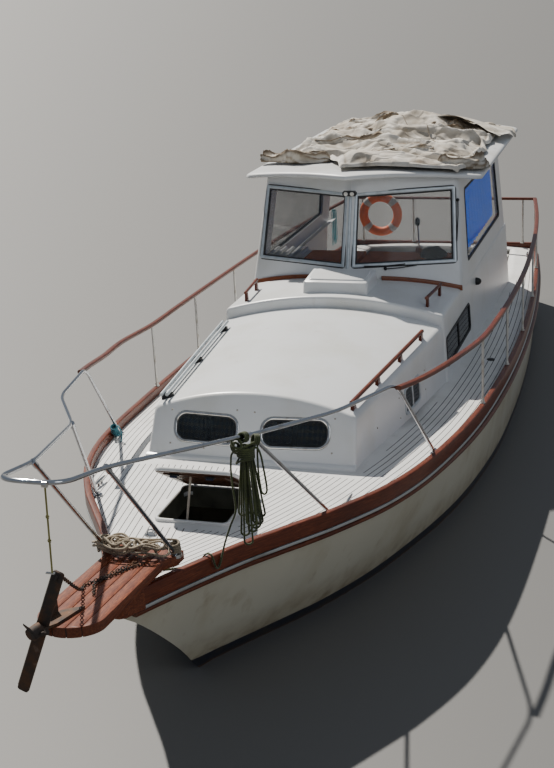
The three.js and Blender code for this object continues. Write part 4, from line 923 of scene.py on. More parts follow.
def copies_tree(name, sizes, build_one):
    """Geometry Nodes tree that sets one shape at each spot, turned as the spot says, in one finish."""
    tree = bpy.data.node_groups.new(name, "GeometryNodeTree")
    for label, kind in (("Spots", "Geometry"), *((size, "Float") for size in sizes), ("Finish", "Material")):
        tree.interface.new_socket(label, in_out="INPUT", socket_type=f"NodeSocket{kind}")
    tree.interface.new_socket("Copies", in_out="OUTPUT", socket_type="NodeSocketGeometry")
    given = added(tree, "NodeGroupInput", {}).outputs
    turned = added(tree, "GeometryNodeInputNamedAttribute", {"Name": "turn"}, data_type="FLOAT_VECTOR").outputs[0]
    made = added(tree, "GeometryNodeInstanceOnPoints", {"Points": given["Spots"], "Instance": build_one(tree, given),
                                                        "Rotation": turned})
    made = added(tree, "GeometryNodeRealizeInstances", {0: made.outputs[0]})
    made = added(tree, "GeometryNodeSetMaterial", {"Geometry": made.outputs[0], "Material": given["Finish"]})
    added(tree, "NodeGroupOutput", {0: made.outputs[0]})
    return tree


def copies_at(name, spots, tree, sizes, material):
    """Mesh of copies at the spots (place, turn), made by a tree and then applied."""
    points = bpy.data.meshes.new(f"{name}_spots")
    points.from_pydata([place for place, turn in spots], [], [])
    turned = points.attributes.new("turn", "FLOAT_VECTOR", "POINT")
    for k, (place, turn) in enumerate(spots):
        turned.data[k].vector = tuple(turn.to_euler())
    obj = bpy.data.objects.new(name, points)
    bpy.context.collection.objects.link(obj)
    setter = obj.modifiers.new("copies", "NODES")
    setter.node_group = tree
    for item in tree.interface.items_tree:
        if item.in_out == "INPUT" and item.name != "Spots":
            setter[item.identifier] = material if item.name == "Finish" else sizes[item.name]
    made = bpy.data.meshes.new_from_object(obj.evaluated_get(bpy.context.evaluated_depsgraph_get()))
    obj.modifiers.clear()
    obj.data = made
    for face in made.polygons:
        face.use_smooth = True
    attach(obj, "hull")


def one_stud(tree, given):
    """A flattened ball, half of it sunk in the surface: the dome of a stud."""
    ball = added(tree, "GeometryNodeMeshUVSphere", {"Segments": 12, "Rings": 6, "Radius": given["Radius"]})
    squash = added(tree, "ShaderNodeMath", {0: given["Height"], 1: given["Radius"]}, operation="DIVIDE")
    shape = added(tree, "ShaderNodeCombineXYZ", {0: 1, 1: 1, 2: squash.outputs[0]})
    return added(tree, "GeometryNodeTransform", {"Geometry": ball.outputs[0], "Scale": shape.outputs[0]}).outputs[0]


stud_tree = copies_tree("domed_studs", ("Radius", "Height"), one_stud)


def studs_at(name, places, material, radius=0.0065, height=0.006):
    """Small domed studs, each standing along its own surface normal."""
    spots = [(Vector(place), Vector(normal).to_track_quat("Z", "Y")) for place, normal in places]
    copies_at(name, spots, stud_tree, {"Radius": radius, "Height": height}, material)


front_normal = (0, -0.90, 0.43)
stud_places = [(on_trunk_front(x, z), front_normal) for x, z in (
    (0.03, 1.262), (-0.10, 1.268), (0.60, 1.235), (0.595, 1.02), (0.03, 1.03), (-0.03, 1.05), (-0.60, 1.235),
    (-0.595, 1.02), (-0.33, 1.01))]
stud_places += [((s * trunk_side(y, z)[0], y, z), (s, 0, 0.06)) for s in (1, -1) for y, z in (
    (-1.66, 0.90), (-1.66, 1.06), (-0.98, 0.90), (-0.98, 1.06), (-2.2, 1.02))]
studs_at("cover_studs", stud_places, nickel)


# Windows: metal frames with rounded corners, rubber inside them and dark glass. Check curtains hang
# behind the two front panes. Windows are fixed in their frames.
polished = weathered("polished_stainless", (0.16, 1.0), (0.62, 0.62, 0.61), ((0.36, 0.31, 0.25), 0.52, 0.85, 24),
                     relief=((30, 2), 0.06, 0.001))
alloy = weathered("window_alloy", (0.38, 0.55), (0.55, 0.60, 0.63), ((0.34, 0.36, 0.36), 0.48, 0.85, 12),
                  relief=((60, 2), 0.08, 0.001))
rubber = weathered("window_rubber", (0.6,), (0.018, 0.018, 0.020), ((0.07, 0.068, 0.062), 0.5, 0.85, 20))


def glass_of(name, tint, cover):
    """Thin glass: what it hides grows with its cover, its surface stays glossy with a film of salt."""
    return weathered(name, (0.03,), tint, (tuple(c + 0.03 for c in tint), 0.5, 0.9, 5), Alpha=cover)


pane = glass_of("clear_glass", (0.012, 0.015, 0.017), 0.07)
smoked = glass_of("smoked_glass", (0.012, 0.014, 0.017), 0.80)
tinted = glass_of("tinted_glass", (0.012, 0.013, 0.016), 0.52)


def framed(name, corners, profile, radius, material, slot_name, node=None):
    """Frame swept round a pane; the profile lists insets and heights above the surface."""
    rings = [rounded_quad(corners, i, max(radius, i + 0.004), h) for i, h in profile + profile[:1]]
    skin_between(name, rings, material, slot_name, node, caps=False, smooth=32)


def window_pane(name, corners, inset, radius, material):
    rings = [rounded_quad(corners, inset, max(radius, inset + 0.004), h) for h in (-0.009, -0.003)]
    skin_between(name, rings, material, "glass", smooth=30)


def half_round(bar, proud, low=-0.016):
    """Profile of a domed metal frame from its outer foot over to its inner lip."""
    dome = [(bar / 2 - bar / 2 * math.cos(a), 0.0015 + proud * math.sin(a))
            for a in map(math.radians, (25, 50, 75, 100, 130, 155))]
    return [(0.0, low), (0.0, 0.0015)] + dome + [(bar, 0.001), (bar, low)]


cloth_check, tree, shader = new_material("check_curtain_cloth", 0.9)
where, stripes = added(tree, "ShaderNodeUVMap", {}).outputs[0], []
for way, pale, dark in (("X", (0.30, 0.20, 0.08), (0.022, 0.030, 0.10)),
                        ("Y", (0.36, 0.23, 0.09), (0.030, 0.030, 0.09))):
    wave = added(tree, "ShaderNodeTexWave", {"Scale": 0.314 / 0.050, 0: where}, bands_direction=way)
    stripes.append(ramp_between(tree, wave.outputs[1], [(0.38, pale), (0.52, dark)]))
tree.links.new(mixed_colour(tree, 0.5, *stripes), shader.inputs["Base Color"])
bumped(tree, shader, noise_of(tree, 500, 2), 0.2, 0.0006)


def cloth_grid(name, nu, nv, place, material, smooth, thickness, offset, node=None):
    """Sheet over a grid; place gives the point and the UV at a share along and a share down."""
    spots = [place(i / nu, j / nv) for j in range(nv + 1) for i in range(nu + 1)]
    obj = meshed(name, [p for p, uv in spots], band_faces(nv + 1, nu + 1, False, False), material, "hull",
                 [uv for p, uv in spots], smooth)
    walled(obj, thickness, offset, "cloth")
    return dressed(obj, node)


def gathered_curtain(name, corner, across, fall):
    """Gathered cloth: pleats across its width that open toward the hem."""
    out, folds = Vector((0, -0.9, 0.43)), 6

    def pleated(u, v):
        wobble = 0.25 * math.sin(5.1 * u + 2.0 * v) + 0.15 * math.sin(13 * u - 3 * v)
        push = 0.009 * (0.55 + 0.45 * v) * math.sin(2 * math.pi * (folds * u + 0.12 * wobble * 4 * v)) * (0.8 + wobble)
        return (corner + across * (u + 0.01 * wobble * v) + fall * v + out * push,
                (u * across.length * 1.35, v * fall.length))
    obj = cloth_grid(name, folds * 10, 26, pleated, cloth_check, 180, 0.0014, 0)


ring_profile = half_round(0.024, 0.0085)
rubber_profile = [(0.0235, -0.012), (0.0235, 0.0), (0.027, 0.001), (0.031, -0.003), (0.031, -0.012)]
trim = [(0.0, -0.014), (0.0, 0.004), (0.006, 0.008), (0.018, 0.008), (0.024, 0.003), (0.024, -0.014)]
for side, sign, turn in (("port", 1, list), ("starboard", -1, other_side)):
    window = turn(front_window)
    framed(f"front_window_ring_{side}", window, ring_profile, 0.096, polished, "stainless", f"front_window_frame_{side}")
    framed(f"front_window_rubber_{side}", window, rubber_profile, 0.096, rubber, "black_frame")
    window_pane(f"front_window_pane_{side}", window, 0.0245, 0.096, tinted)
    for part, start, width in (("inner", 0.085, 0.22), ("outer", 0.335, 0.235)):
        a, b, c = [Vector(on_trunk_front(sign * x, z))
                   for x, z in ((start, 1.232), (start + width, 1.232), (start, 1.026))]
        gathered_curtain(f"curtain_{part}_{side}", a + Vector((0, 0.034, 0.0)), b - a, c - a)
    for name, outline, radius, coat, slot_name, place, y0, y1, z0, z1 in (
            ("trunk_window", trunk_window, 0.05, alloy, "aluminium", trunk_side, -1.331, -1.311, 0.880, 1.068),
            ("cabin_window", cabin_window, 0.055, rubber, "black_frame", raised_side, 0.235, 0.257, 0.886, 1.118)):
        framed(f"{name}_ring_{side}", turn(outline), trim, radius, coat, slot_name, f"{name}_{side}")
        window_pane(f"{name}_pane_{side}", turn(outline), 0.022, radius, smoked)
        bar = turn(pane_corners(y0, y1, z0, z1, place))
        skin_between(f"{name}_divider_{side}", [rounded_quad(bar, i, 0.004 + i, h) for i, h in (
            (0, -0.010), (0, 0.003), (0.004, 0.006))], coat, slot_name, smooth=30)


# Wheelhouse: white moulded walls that lean in to the roof, a V windscreen in alloy frames on black
# rubber, and dark side windows. A wooden bead runs round its foot.
HOUSE = {"z0": 1.300, "z1": 2.235, "yc": (0.134, 0.432), "xo": (0.988, 0.900), "yo": (0.478, 0.786), "yr": 3.190,
         "xr": (1.003, 0.912)}
ROOF = {"yc": 0.215, "yo": 0.800, "x": 1.110, "xr": 1.080, "yr": 3.700, "z": 2.262, "crown": 0.095, "thick": 0.046}


def rise(z):
    return (z - HOUSE["z0"]) / (HOUSE["z1"] - HOUSE["z0"])


def at_height(pair, z):
    return HOUSE[pair][0] + (HOUSE[pair][1] - HOUSE[pair][0]) * rise(z)


def house_front(s, z):
    return (at_height("xo", z) * s, at_height("yc", z) + (at_height("yo", z) - at_height("yc", z)) * s, z)


def house_side(y, z):
    a, b, p, q = at_height("xo", z), at_height("xr", z), at_height("yo", z), HOUSE["yr"]
    return (a + (b - a) * (y - p) / (q - p), y, z)


screen = [house_front(s, z) for s, z in ((0.035, 1.578), (0.955, 1.572), (0.965, 2.216), (0.035, 2.212))]
side_window = [house_side(y, z) for y, z in ((0.87, 1.50), (2.90, 1.50), (2.90, 2.13), (1.03, 2.15))]
ON_TOP = 0.0008


def raised_top(x, y):
    t = (y - RAISED["yf"]) / (RAISED["yr"] - RAISED["yf"])
    w = RAISED["xf"] + (RAISED["xr"] - RAISED["xf"]) * t
    return RAISED["z"] + RAISED["crown"] * (1 - min(1, abs(x) / w) ** 2)


def roof_under(x):
    return ROOF["z"] + ROOF["crown"] * (1 - (x / ROOF["x"]) ** 2)


def house_ring(z, inset):
    """Half outline of the walls at one height, open at the back, with a soft corner at the side."""
    corner, rear = Vector(house_front(1, z)[:2]), Vector((at_height("xr", z), HOUSE["yr"]))
    mid = Vector((0, at_height("yc", z)))
    front_dir, side_dir, r = (mid - corner).normalized(), (rear - corner).normalized(), 0.035
    corner += Vector((-inset, inset * 0.8))
    mid.y += inset * 1.05
    a, c = corner + front_dir * r, corner + side_dir * r
    bend = [a * (1 - t) ** 2 + corner * (2 * t * (1 - t)) + c * t * t for t in (0, 0.2, 0.4, 0.6, 0.8, 1.0)]
    return [mid.lerp(a, f) for f in (0, 0.02, 0.25, 0.5, 0.75)] + bend + [
        Vector((c.x + (rear.x - inset - c.x) * f, c.y + (rear.y - c.y) * f)) for f in (0.2, 0.5, 0.8, 1.0)]


# Each column of the wall runs from the cabin's top to the roof's underside, outside and then inside.
wall_rings, shares = [], [0.0, 0.04, 0.2, 0.4, 0.6, 0.8, 1.0]
for inset, order in ((0.0, shares), (0.038, shares[::-1])):
    for f in order:
        column = []
        for k, p in enumerate(house_ring(HOUSE["z0"] + 0.5 * (HOUSE["z1"] - HOUSE["z0"]), inset)):
            base = raised_top(abs(p.x), max(RAISED["yf"], p.y)) + ON_TOP
            z = base + (roof_under(p.x) - ON_TOP - base) * f
            column.append((*house_ring(z, inset)[k], z))
        wall_rings.append([(-x, y, z) for x, y, z in reversed(column[1:])] + column)
house = skin_between("wheelhouse_walls", wall_rings + wall_rings[:1], cabin_coat, closed=False, caps=False, smooth=34)
reworked(house, lambda bm: bmesh.ops.holes_fill(bm, edges=[e for e in bm.edges if e.is_boundary], sides=0),
         faces_outward)
window_holes(house, screen, 0.010, 0.12, -0.004)
window_holes(house, side_window, 0.045, 0.12, -0.004)
resharpened(house, 34)
dressed(house, "wheelhouse")

screen_bar = [(0.0, -0.016), (0.0, 0.008), (0.003, 0.012), (0.012, 0.014), (0.022, 0.013), (0.028, 0.009), (0.030, 0.002),
              (0.030, -0.016)]
screen_rubber = [(0.029, -0.012), (0.029, 0.004), (0.033, 0.006), (0.040, 0.004), (0.042, -0.001), (0.042, -0.012)]
screen_bed = [(-0.010, -0.012), (-0.010, 0.001), (-0.004, 0.004), (0.002, 0.003), (0.002, -0.012)]
side_bar = [(0.0, -0.014), (0.0, 0.003), (0.005, 0.006), (0.018, 0.006), (0.024, 0.002), (0.024, -0.014)]
for side, turn in (("port", list), ("starboard", other_side)):
    framed(f"windscreen_bar_{side}", turn(screen), screen_bar, 0.012, alloy, "aluminium", f"windscreen_frame_{side}")
    framed(f"windscreen_rubber_{side}", turn(screen), screen_rubber, 0.030, rubber, "black_frame")
    window_pane(f"windscreen_pane_{side}", turn(screen), 0.0305, 0.030, pane)
    framed(f"windscreen_bed_{side}", turn(screen), screen_bed, 0.030, rubber, "black_frame")
    framed(f"house_window_bar_{side}", turn(side_window), side_bar, 0.05, rubber, "black_frame",
           f"house_window_frame_{side}")
    window_pane(f"house_window_pane_{side}", turn(side_window), 0.0245, 0.05, pane)

# The bead at the foot of the wheelhouse's front is varnished wood, laid on the cabin top.
bead_wood = varnished("bead_mahogany", (0.085, 0.020, 0.008), (0.19, 0.052, 0.018), (0.29, 0.095, 0.034))
bead_section = [(-0.014, -0.012), (0.014, -0.012), (0.014, 0.022), (0.006, 0.034), (-0.008, 0.034), (-0.014, 0.026)]
for side, sign in (("port", 1), ("starboard", -1)):
    feet = [house_front((0.300 + 0.690 * k / 12) / 0.99, 1.42) for k in range(13)]
    moulding(f"house_foot_bead_{side}", [(sign * x, y - 0.010, raised_top(x, y)) for x, y, z in feet],
             [(sign * a, b) for a, b in bead_section], bead_wood)

# Small fittings on the wheelhouse: wipers with black blades, a lamp over the mullion and cowl vents.
black_metal = weathered("black_fittings", (0.45, 0.3), (0.020, 0.020, 0.022), ((0.08, 0.07, 0.06), 0.5, 0.8, 30))
lamp_glass = weathered("lamp_lens", (0.2,), (0.72, 0.70, 0.64), ((0.40, 0.36, 0.28), 0.5, 0.8, 30))


def tube(name, path, radius, material, sides=12, node=None, body="hull"):
    """Round bar along a path; the radius may be a list, one for each point."""
    reach = (lambda i, t, run: radius[i]) if isinstance(radius, list) else (lambda i, t, run: radius)
    verts, uvs, faces = round_skin([Vector(p) for p in path], sides, reach, 0.08)
    return dressed(meshed(name, verts, faces, material, body, uvs, smooth=50), node)


def turned(name, foot, profile, material, slot_name="stainless", sides=16, way=(0, 0, 1)):
    """Turned piece that stands on its foot: the profile lists heights and radii."""
    tube(name, [Vector(foot) + Vector(way) * h for h, r in profile], [r for h, r in profile], material, sides)


def block(name, low, high, material, bevel=0.003, body="hull", node=None, place=None):
    """Box with eased edges, optionally put through a placing matrix."""
    bm = bmesh.new()
    bmesh.ops.create_cube(bm, size=1.0)
    for v in bm.verts:
        v.co = Vector([(a + b) / 2 + c * (b - a) for a, b, c in zip(low, high, v.co)])
    bmesh.ops.bevel(bm, geom=bm.edges[:], offset=bevel, segments=3, affect="EDGES", clamp_overlap=True)
    if place is not None:
        bmesh.ops.transform(bm, matrix=place, verts=bm.verts)
    layer = bm.loops.layers.uv.new("along")
    for f in bm.faces:
        u, v = (0, 1) if abs(f.normal.z) > 0.6 else ((1, 2) if abs(f.normal.x) > 0.6 else (0, 2))
        for loop in f.loops:
            loop[layer].uv = (loop.vert.co[u], loop.vert.co[v])
    edges_shaded(40)(bm)
    mesh = bpy.data.meshes.new(name)
    bm.to_mesh(mesh)
    bm.free()
    mesh.materials.append(material)
    obj = bpy.data.objects.new(name, mesh)
    bpy.context.collection.objects.link(obj)
    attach(obj, body)
    return dressed(obj, node)


def on_screen(s, z, off):
    """Point over the port screen: a share of its width, a height and a distance off the glass."""
    n = (Vector(house_front(1, z)) - Vector(house_front(0, z))).cross(Vector((0, 0, 1)))
    n = Vector((n.x, n.y, 0)).normalized() * (1 if n.y < 0 else -1)
    return Vector(house_front(s, z)) + n * off


for name, thick, spots in (
        ("arm_port", 0.0055, ((0.985, 2.10, 0.02), (0.978, 1.98, 0.035), (0.96, 1.76, 0.03))),
        ("arm_low_port", 0.005, ((0.33, 1.555, 0.016), (0.45, 1.562, 0.034), (0.60, 1.575, 0.034))),
        ("blade_port", 0.006, ((0.14, 1.590, 0.024), (0.34, 1.582, 0.026), (0.50, 1.590, 0.026)))):
    tube(f"wiper_{name}", [on_screen(*spot) for spot in spots], thick, black_metal, 8)
studs_at("wiper_knobs", [(on_screen(0.985, 2.10, 0.012), (0.3, -0.9, 0.2)),
                         (on_screen(0.33, 1.555, 0.006), (0.3, -0.9, 0.3))], black_metal, 0.016, 0.022)
block("screen_lamp_housing", (-0.062, 0.346, 2.196), (0.062, 0.405, 2.240), black_metal, 0.010)
tube("mullion_strip", [(0, at_height("yc", z) - 0.004, z) for z in (1.560, 1.80, 2.00, 2.192)], 0.013, alloy)
studs_at("screen_lamp_lens", [((x, 0.347, 2.218), (0, -1, -0.1)) for x in (-0.028, 0.028)], lamp_glass, 0.020, 0.008)
turned("side_vent_port", raised_side(1.26, 1.215), [(-0.004, 0.036), (0.010, 0.036), (0.030, 0.032), (0.046, 0.020),
                                                    (0.052, 0.006)], black_metal, "black_frame", 20, (1, 0, 0))


# Roof: a white moulding with a thick rounded visor all round. A weathered canvas cover lies folded and
# crumpled on it, tied down at its corners.
roof_coat = weathered("roof_gelcoat", (0.42,), (0.69, 0.70, 0.70), ((0.52, 0.50, 0.45), 0.46, 0.84, 2.2),
                      ((0.34, 0.31, 0.25), 0.60, 0.95, 11, (1, 1, 0.4)), relief=((5.0, 2), 0.10, 0.008), Coat_Weight=0.2)


def roof_plan(inset):
    """Closed plan of the roof: a V front with soft corners, straight sides and a square back."""
    tip, corner = Vector((0, ROOF["yc"] + inset)), Vector((ROOF["x"] - inset, ROOF["yo"] + inset * 0.6))
    back, r = Vector((ROOF["xr"] - inset, ROOF["yr"] - inset)), 0.060

    def bend(p, q, s):
        a, c = q + (p - q).normalized() * r, q + (s - q).normalized() * r
        return [a * (1 - t) ** 2 + q * (2 * t * (1 - t)) + c * t * t for t in (0, 0.25, 0.5, 0.75, 1.0)]
    half = [tip] + [tip.lerp(corner, k / 8) for k in range(1, 8)] + bend(tip, corner, back) + [
        corner.lerp(back, k / 10) for k in range(1, 10)] + bend(corner, back, Vector((0, back.y)))
    half += [Vector((back.x * (1 - k / 6), back.y)) for k in range(1, 6)]
    last = Vector((0, back.y))
    return half + [last] + [Vector((-p.x, p.y)) for p in reversed(half[1:])]


roof_rings = []
for inset, up in ((0.5, 0.0), (0.25, 0.0), (0.060, 0.0), (0.020, 0.001), (0.005, 0.009), (0.0, 0.022), (0.004, 0.034),
                  (0.014, 0.042), (0.035, 0.0455), (0.15, 0.046), (0.35, 0.046), (0.6, 0.046), (0.85, 0.046)):
    ring, mid = roof_plan(min(inset, 0.3)), Vector((0, 1.9))
    if inset > 0.3:
        ring = [mid + (p - mid) * (1 - (inset - 0.3) / 0.62) for p in ring]
    roof_rings.append([(p.x, p.y, roof_under(p.x) + up) for p in ring])
skin_between("roof_moulding", roof_rings, roof_coat, "cabin_gelcoat", "roof", smooth=40)

canvas, tree, shader = new_material("canvas_stains_and_painted_crease_shade", 0.92)
cloth = dirt_over(tree, (0.70, 0.67, 0.61), (0.40, 0.34, 0.26), 0.44, 0.70, 3.2)
cloth = dirt_over(tree, cloth, (0.13, 0.10, 0.07), 0.58, 0.84, 7)
cloth = dirt_over(tree, cloth, (0.22, 0.13, 0.06), 0.64, 0.86, 2.6)
# Painted shade and highlight: the colour darkens toward brown where the cloth bends inward, in hollows and creases, and
# stays lightest on its ridges.
form = added(tree, "ShaderNodeNewGeometry", {})
painted_crease_shade_and_ridge_light = ramp_between(tree, form.outputs["Pointiness"], [(0.455, (0.32, 0.26, 0.20)), (0.500, (0.82, 0.80, 0.77)),
                                                         (0.545, (1.0, 1.0, 1.0))])
tree.links.new(mixed_colour(tree, 1.0, cloth, painted_crease_shade_and_ridge_light, "MULTIPLY"), shader.inputs["Base Color"])
creases = added(tree, "ShaderNodeTexVoronoi", {"Scale": 5.5}, feature="DISTANCE_TO_EDGE")
bent_by = added(tree, "ShaderNodeTexNoise", {"Scale": 2.2})
place = added(tree, "ShaderNodeTexCoord", {}).outputs["Object"]
tree.links.new(place, bent_by.inputs["Vector"])
pushed = added(tree, "ShaderNodeMix", {"Factor": 0.42, 4: place, 5: bent_by.outputs["Color"]}, data_type="VECTOR")
tree.links.new(pushed.outputs[1], creases.inputs["Vector"])
bumped(tree, shader, creases.outputs[0], 0.75, 0.10)


CANVAS_THICK = 0.0025


def roof_top(x, y):
    """Height of the roof's upper face; past the visor's edge it falls away, so that cloth hangs over it."""
    half = ROOF["x"] + (ROOF["xr"] - ROOF["x"]) * min(1, max(0, (y - 0.8) / 2.9))
    front = ROOF["yc"] + (ROOF["yo"] - ROOF["yc"]) * min(1, abs(x) / ROOF["x"])
    over = max(0.0, abs(x) - half, front - y)
    return roof_under(min(abs(x), half)) + ROOF["thick"] - min(0.10, over * 1.5)


def settled(z):
    """Cloth that rises high sinks back under its own weight."""
    return z if z < 2.540 else 2.540 + (z - 2.540) * 0.70


def crumple(x, y, seed):
    """Height of stiff crumpled cloth: sharp ridges that part broad hollows, in three sizes."""
    total = 0.0
    calm = 0.5 + 0.9 * noise.noise(Vector((x * 1.7, y * 2.1, seed + 11)))
    for size, height, along, across in ((2.3, 0.210, 0.62, 1.45), (5.2, 0.085, 0.70, 1.30), (12.0, 0.020, 0.9, 1.1)):
        q = Vector((x * along, y * across, seed)) * size
        q += noise.noise_vector(q * 0.55) * 0.75
        total += height * noise.voronoi(q)[0][0] ** 2.2 * (1 if size < 3 else max(0.1, min(1.0, calm)))
    return total


def canvas_sheet(name, corners, folds, lift, seed, ragged=0.07, rolled=1.0, much=1.0, node=None):
    """Stiff crumpled sheet on the roof: its four corners and its long folds (start, end, height, width)."""
    a, b, c, d = [Vector(p) for p in corners]
    wide_by, deep_by, step = (b - a).length, (d - a).length, 0.0145

    def crumpled(u, v):
        p = a.lerp(b, u).lerp(d.lerp(c, u), v)
        wander = noise.noise_vector(Vector((p.x * 3.1, p.y * 3.1, seed))) * ragged
        x, y = p.x + wander.x, p.y + wander.y
        height = crumple(x, y, seed) * much
        for (x0, y0), (x1, y1), high, wide in folds:
            way = Vector((x1 - x0, y1 - y0))
            t = max(0.0, min(1.0, ((x - x0) * way.x + (y - y0) * way.y) / way.length_squared))
            off = math.hypot(x - x0 - way.x * t, y - y0 - way.y * t) + 0.04 * noise.noise(Vector((x * 6, y * 6, seed)))
            if off < wide:
                height += high * (1 - off / wide) ** 0.8 * (0.75 + 0.5 * noise.noise(Vector((x * 4, y * 4, seed + 3))))
        near = min(u * wide_by, (1 - u) * wide_by, v * deep_by, (1 - v) * deep_by)
        hem = rolled * 0.024 * math.exp(-((near - 0.022) / 0.020) ** 2)
        rim = min(1, near / 0.14) ** 0.7
        return (x, y, settled(roof_top(x, y) + lift + height * (0.16 + 0.84 * rim) + hem)), (u * wide_by, v * deep_by)
    return cloth_grid(name, int(max(wide_by, (c - d).length) / step), int(max(deep_by, (c - b).length) / step), crumpled,
                      canvas, 42, CANVAS_THICK, 1, node)


def canvas_bundle(name, points, wide, high, seed):
    """Gathered cloth along a line: a flattened roll whose skin is crumpled into folds along and across it."""
    path = even_path([(x, y, roof_top(x, y) + h) for x, y, h in points], 0.013)
    verts, uvs, n, run = [], [], 64, 0.0
    for i, p in enumerate(path):
        ahead = (path[min(i + 1, len(path) - 1)] - path[max(i - 1, 0)])
        side = Vector((ahead.y, -ahead.x, 0)).normalized()
        run += (p - path[i - 1]).length if i else 0
        t = i / (len(path) - 1)
        full = min(1, t / 0.06, (1 - t) / 0.06) ** 0.5 * (0.80 + 0.35 * noise.noise(Vector((run * 3, seed, 0))))
        for k in range(n):
            angle = 2 * math.pi * k / n
            c, s = math.cos(angle), math.sin(angle)
            q = Vector((run * 4.2, c * 1.25, s * 1.25 + seed))
            q += noise.noise_vector(q * 0.8) * 0.7
            fine = Vector((run * 17, c * 2.6, s * 2.6 + seed))
            puff = 0.58 + 1.45 * noise.voronoi(q)[0][0] ** 1.8 + 0.16 * noise.voronoi(fine)[0][0] ** 2
            x, y = p.x + side.x * wide * full * puff * c, p.y + side.y * wide * full * puff * c
            lift = high * full * (max(0, s) * puff * 1.45)
            verts.append((x, y, settled(max(roof_top(x, y) + 0.003, p.z) + lift + 0.002 * (1 + s))))
            uvs.append((k / n * 4 * wide, run))
    return dressed(meshed(name, verts, band_faces(len(path), n), canvas, "hull", uvs, smooth=42))


cover = canvas_sheet("roof_canvas", [(-0.84, 1.04), (0.93, 1.06), (0.96, 3.40), (-0.90, 3.38)],
                     [((-0.8, 1.5), (0.1, 1.35), 0.035, 0.10), ((-0.1, 1.9), (0.9, 1.6), 0.045, 0.11),
                      ((0.62, 0.95), (0.9, 2.6), 0.035, 0.10), ((-0.7, 2.1), (0.3, 2.3), 0.040, 0.12)],
                     0.004, 2.0, node="roof_cover")
lap = canvas_sheet("roof_canvas_front_lap", [(-0.10, 0.42), (0.92, 0.67), (0.96, 1.42), (-0.44, 1.30)],
                   [((-0.1, 0.62), (0.75, 0.98), 0.030, 0.08), ((0.05, 1.05), (0.6, 1.25), 0.035, 0.09)],
                   0.020, 7.0, 0.06, 1.2, 0.55)
bundles = [canvas_bundle(f"roof_canvas_{name}", *rest) for name, *rest in (
    ("bundle_rear", [(-0.80, 2.62, 0.0), (-0.35, 2.85, 0.01), (0.15, 2.95, 0.012), (0.62, 2.90, 0.012)],
     0.235, 0.060, 3.0),
    ("bundle_back", [(-0.72, 3.18, 0.0), (-0.2, 3.25, 0.01), (0.40, 3.22, 0.0)], 0.150, 0.075, 9.0),
    ("bundle_mid", [(-0.66, 1.92, 0.02), (-0.1, 1.86, 0.03), (0.38, 2.06, 0.03)], 0.130, 0.052, 5.0),
    ("bundle_front", [(0.02, 1.16, 0.03), (0.36, 1.40, 0.04), (0.76, 1.62, 0.03)], 0.110, 0.042, 12.0),
    ("roll", [(-1.10, 1.345, 0.030), (-0.96, 1.24, 0.024), (-0.78, 1.10, 0.016), (-0.56, 0.99, 0.008),
              (-0.32, 0.98, 0.004)], 0.056, 0.070, 21.0),
    ("corner", [(0.70, 0.80, 0.020), (0.90, 0.90, 0.016), (1.04, 1.05, 0.010), (1.06, 1.26, 0.006)], 0.072, 0.075, 30.0))]

# The tie cords of the cover run slack over its folds; a stiff flap of it stands up at the rear corner.
top_points, top_faces = [], []
for piece in [cover, lap] + bundles:
    top_faces += [tuple(i + len(top_points) for i in f.vertices) for f in piece.data.polygons]
    top_points += [v.co.copy() for v in piece.data.vertices]
folds_under = BVHTree.FromPolygons(top_points, top_faces)


def drawn_over(points, r):
    """Cord route that follows the cover's folds, lifted by its own radius and smoothed."""
    fine = even_path([(x, y, 0) for x, y in points], 0.03)
    heights = []
    for p in fine:
        hit = folds_under.ray_cast(Vector((p.x, p.y, 4)), Vector((0, 0, -1)))[0]
        heights.append((hit or Vector((0, 0, roof_top(p.x, p.y)))).z + r)
    last = len(fine) - 1
    for _ in range(3):
        heights = [max(h, (heights[max(0, i - 1)] + heights[min(last, i + 1)]) / 2) for i, h in enumerate(heights)]
    return [(p.x, p.y, h) for p, h in zip(fine, heights)]


tie_yarn = rope_yarn("cover_tie_cord", (0.06, 0.045, 0.03), (0.26, 0.20, 0.13))
for number, points in enumerate(([(-0.62, 1.52), (-0.10, 1.92), (0.22, 2.42), (0.58, 2.92)],
                                 [(0.60, 1.52), (0.28, 2.30), (-0.06, 2.98)])):
    tie = laid_rope(f"cover_tie_{number + 1}", drawn_over(points, 0.0058), 0.0050, tie_yarn, lay=0.03,
                    sides=6, step=0.008)


def stood_up(u, v):
    x = 0.34 + 0.74 * u + 0.05 * math.sin(5 * v)
    y = 3.26 - 0.30 * v - 0.42 * u * v + 0.03 * math.sin(7 * u)
    rise_at = 0.128 * math.sin(math.pi * min(1, 0.26 + 0.70 * u)) ** 1.3 * v ** 0.8
    z = roof_top(x, y) + 0.045 + rise_at + 0.10 * crumple(x, y, 4.0) * (1 - v) + 0.012 * abs(math.sin(9 * u + 2 * v))
    return (x, y, settled(z)), (x, y)


flap = cloth_grid("roof_canvas_flap", 34, 20, stood_up, canvas, 34, CANVAS_THICK, 0)

# A blue cloth hangs inside the port side window, with the light behind it; it lets some of that light through, and a
# faint glow in its own blue is painted light that brightens it further. It is gathered in loose pleats and held at its
# upper edge.
blue = (0.015, 0.22, 0.80)
blue_cloth_with_painted_glow, tree, shader = new_material("blue_cotton", 0.85)
tree.links.new(dirt_over(tree, blue, (0.010, 0.13, 0.50), 0.40, 0.75, 5, (1, 1, 0.3)), shader.inputs["Base Color"])
through = added(tree, "ShaderNodeBsdfTranslucent", {0: (0.03, 0.36, 1.0)})
both = added(tree, "ShaderNodeMixShader", {0: 0.45, 1: shader.outputs[0], 2: through.outputs[0]})
# Painted light: a faint blue glow of the cloth's own, as if the sun behind it shone through.
shader.inputs["Emission Color"].default_value = (*blue, 1)
shader.inputs["Emission Strength"].default_value = 0.55
tree.links.new(both.outputs[0], tree.nodes["Material Output"].inputs[0])
BEHIND, FORE_EDGE, AFT_EDGE, HEM, HEAD = 0.049, 1.150, 2.820, 1.540, 2.160


